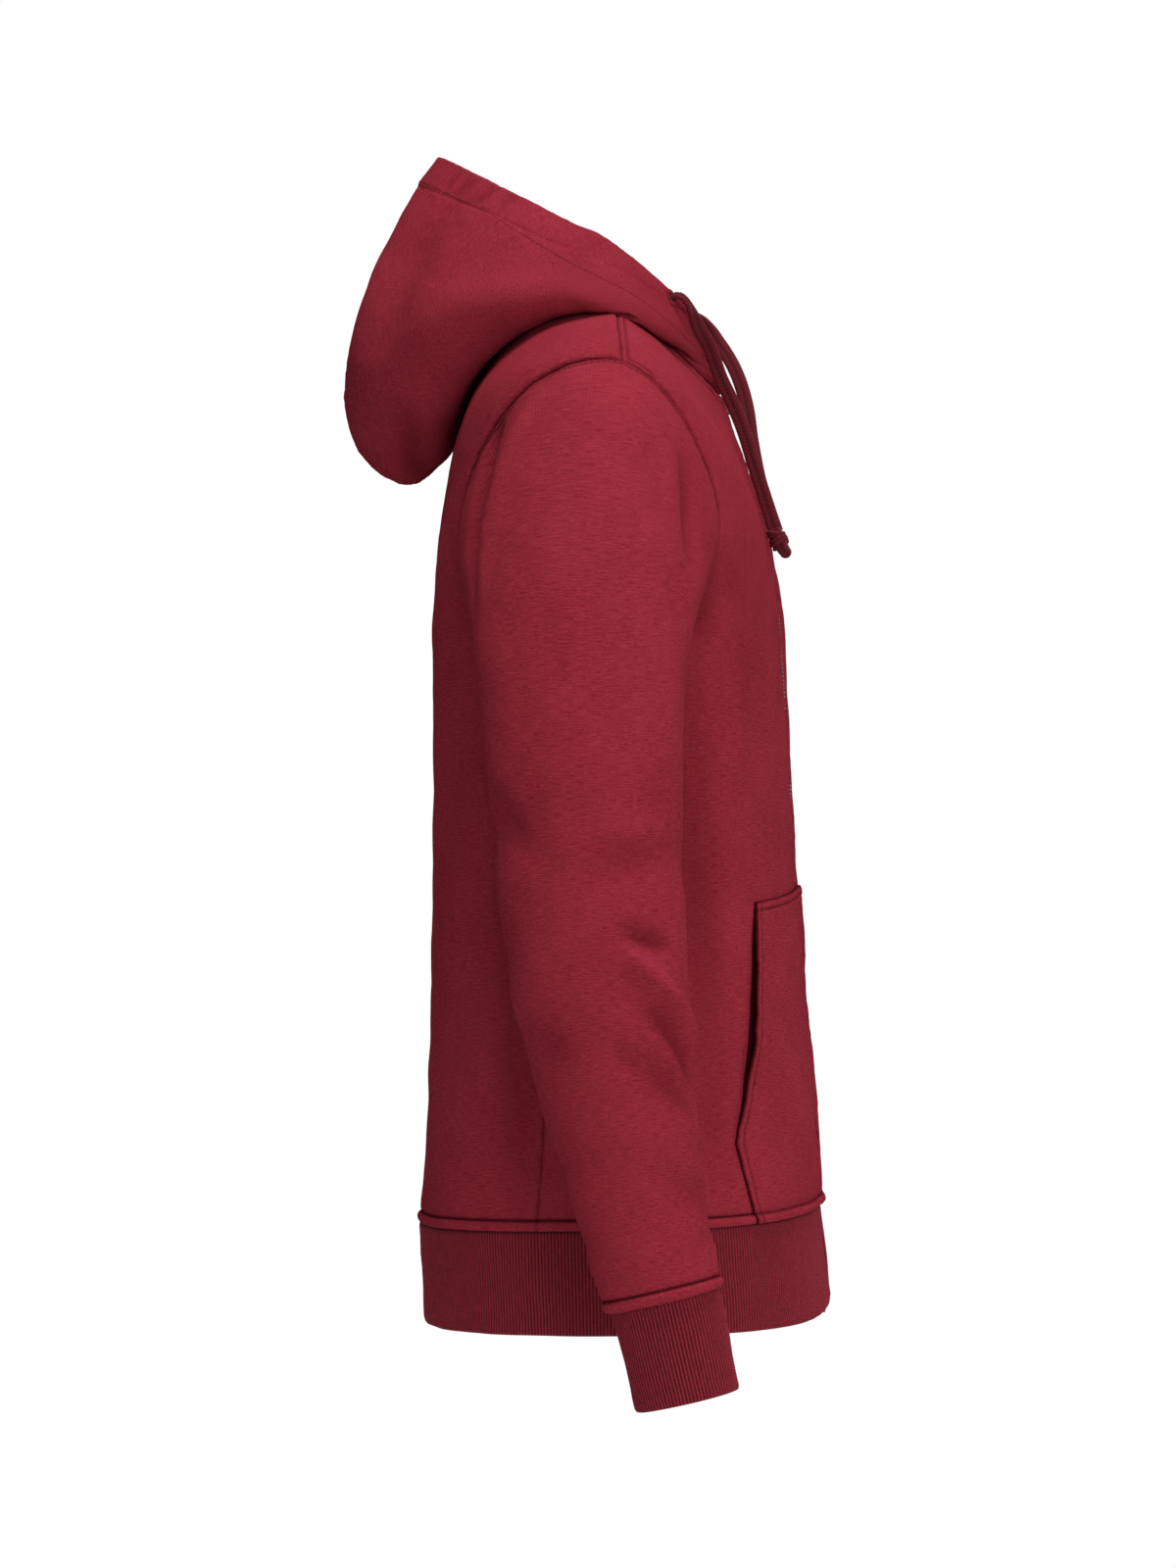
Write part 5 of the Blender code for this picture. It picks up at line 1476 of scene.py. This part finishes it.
def make_eyelets(thread, shadow):
    """Buttonhole-stitched rings on the casing, each with a dark disc of painted shadow in its hole."""
    for side, word in SIDES:
        low, high = (np.array(corner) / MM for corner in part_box(f"eyelet_{word}"))
        out = unit(EYELET_OUT * [side, 1, 1])
        centre = (low + high) / 2 - out * EYELET_SINK
        first = unit(np.cross(out, [0, 0, 1.0]))
        second = np.cross(out, first)
        turn = 2 * np.pi * np.arange(EYELET_THREADS)[:, None] / EYELET_THREADS
        ray = first * np.cos(turn) + second * np.sin(turn)
        ring = bars(f"eyelet_ring_{word}", centre + ray * EYELET_RING, ray, np.tile(out, (len(ray), 1)),
                    EYELET_THREAD_SIZE, thread, "drawcord")
        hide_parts(f"eyelet_{word}")
        # a dark disc of painted shadow in the ring's hole
        bars(f"eyelet_hole_{word}", (centre - out * EYELET_HOLE_SINK)[None], out[None], first[None],
             EYELET_HOLE_SIZE, shadow, "drawcord")


# ---------------------------------------------------------------- camera, light and floor
VIEW_DISTANCE = 3.7
VIEW_TURN = 4.5  # degrees from the pure side view towards the front
VIEW_CENTRE = (0.0, 0.027, -0.313)
VIEW_FOCUS = 5441.0  # in heights of one pixel of a picture 1600 pixels tall
PICTURE_TALL = 1600.0
SENSOR = 36.0


def look(made, way):
    """Turns a camera or a lamp to look that way."""
    made.rotation_mode = "QUATERNION"
    made.rotation_quaternion = way.to_track_quat("-Z", "Y")


def make_camera():
    camera = bpy.data.cameras.new("side_view")
    camera.sensor_width = SENSOR
    camera.lens = VIEW_FOCUS * SENSOR / PICTURE_TALL
    camera.clip_end = 50.0
    made = add_object("side_view", camera)
    turn = np.radians(VIEW_TURN)
    ahead = Vector((np.cos(turn), np.sin(turn), 0.0))
    made.location = Vector(VIEW_CENTRE) - ahead * VIEW_DISTANCE
    look(made, ahead)
    bpy.context.scene.camera = made


Lamp = namedtuple("Lamp", "name x y z size watts")

LAMPS = [
    Lamp("top", -0.6, -0.2, 2.6, 1.2, 61.0),
    Lamp("side", -3.4, -1.4, 0.4, 1.6, 47.0),
    Lamp("low", -3.5, -0.4, -0.6, 1.6, 16.0),
    Lamp("front", -0.9, -3.2, 0.6, 1.4, 26.0),
    Lamp("behind", -1.3, 1.9, 2.1, 1.4, 19.0),
    Lamp("far", 2.6, -0.9, 1.2, 1.6, 42.0),
]


def make_lights():
    for lamp in LAMPS:
        light = bpy.data.lights.new(lamp.name, "AREA")
        light.shape = "DISK"
        light.size = lamp.size
        light.energy = lamp.watts
        made = add_object(lamp.name, light)
        made.location = (lamp.x, lamp.y, lamp.z)
        look(made, Vector(VIEW_CENTRE) - made.location)


WORLD_LIGHT = 0.14
WORLD_SEEN = 1.0


def make_world():
    """White all round where the camera looks, and a softer white for the light that it gives."""
    world = bpy.data.worlds.new("studio")
    world.use_nodes = True
    tree = world.node_tree
    tree.nodes.clear()
    output = tree.nodes.new("ShaderNodeOutputWorld")
    mix = tree.nodes.new("ShaderNodeMixShader")
    path = tree.nodes.new("ShaderNodeLightPath")
    tree.links.new(path.outputs["Is Camera Ray"], mix.inputs[0])
    for place, strength in ((1, WORLD_LIGHT), (2, WORLD_SEEN)):
        light = tree.nodes.new("ShaderNodeBackground")
        light.inputs[0].default_value = (1.0, 1.0, 1.0, 1.0)
        light.inputs[1].default_value = strength
        tree.links.new(light.outputs[0], mix.inputs[place])
    tree.links.new(mix.outputs[0], output.inputs[0])
    bpy.context.scene.world = world
    bpy.context.scene.view_settings.view_transform = "Standard"


FLOOR_DOWN = -1.0
FLOOR_RADIUS = 0.92


def make_floor():
    turn = 2 * np.pi * np.arange(96) / 96
    rim = np.stack([np.cos(turn), np.sin(turn), 0 * turn], axis=-1) * FLOOR_RADIUS
    mesh = bpy.data.meshes.new("floor")
    mesh.from_pydata((rim + [0, 0, FLOOR_DOWN]).tolist(), [], [list(range(len(turn)))])
    mesh.materials.append(pale_floor())
    add_object("floor", mesh)


def main():
    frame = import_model()
    make_camera()
    flat_braid = braid()
    for (side, word), route in zip(SIDES, (CORD_RIGHT, CORD_LEFT)):
        make_cord(side, word, route, flat_braid)
    cloth = Cloth(fleece_face(), fleece_back(), sewing_thread())
    make_back(cloth)
    make_fronts(cloth)
    make_sleeves(cloth)
    rib = rib_knit()
    make_hem(rib)
    make_cuffs(rib)
    make_hood(cloth)
    nickel, tape = brushed_nickel(), woven_tape()
    make_teeth(nylon_coil(), nickel)
    make_eyelets(cloth.thread, painted_hole_shadow())
    for node, finish in (("zip_tape_right", tape), ("zip_tape_left", tape),
                         ("zip_slider", nickel), ("zip_pull", nickel)):
        mesh = frame["nodes"][node].data
        mesh.materials.clear()
        mesh.materials.append(finish)
    make_world()
    make_lights()
    make_floor()


main()
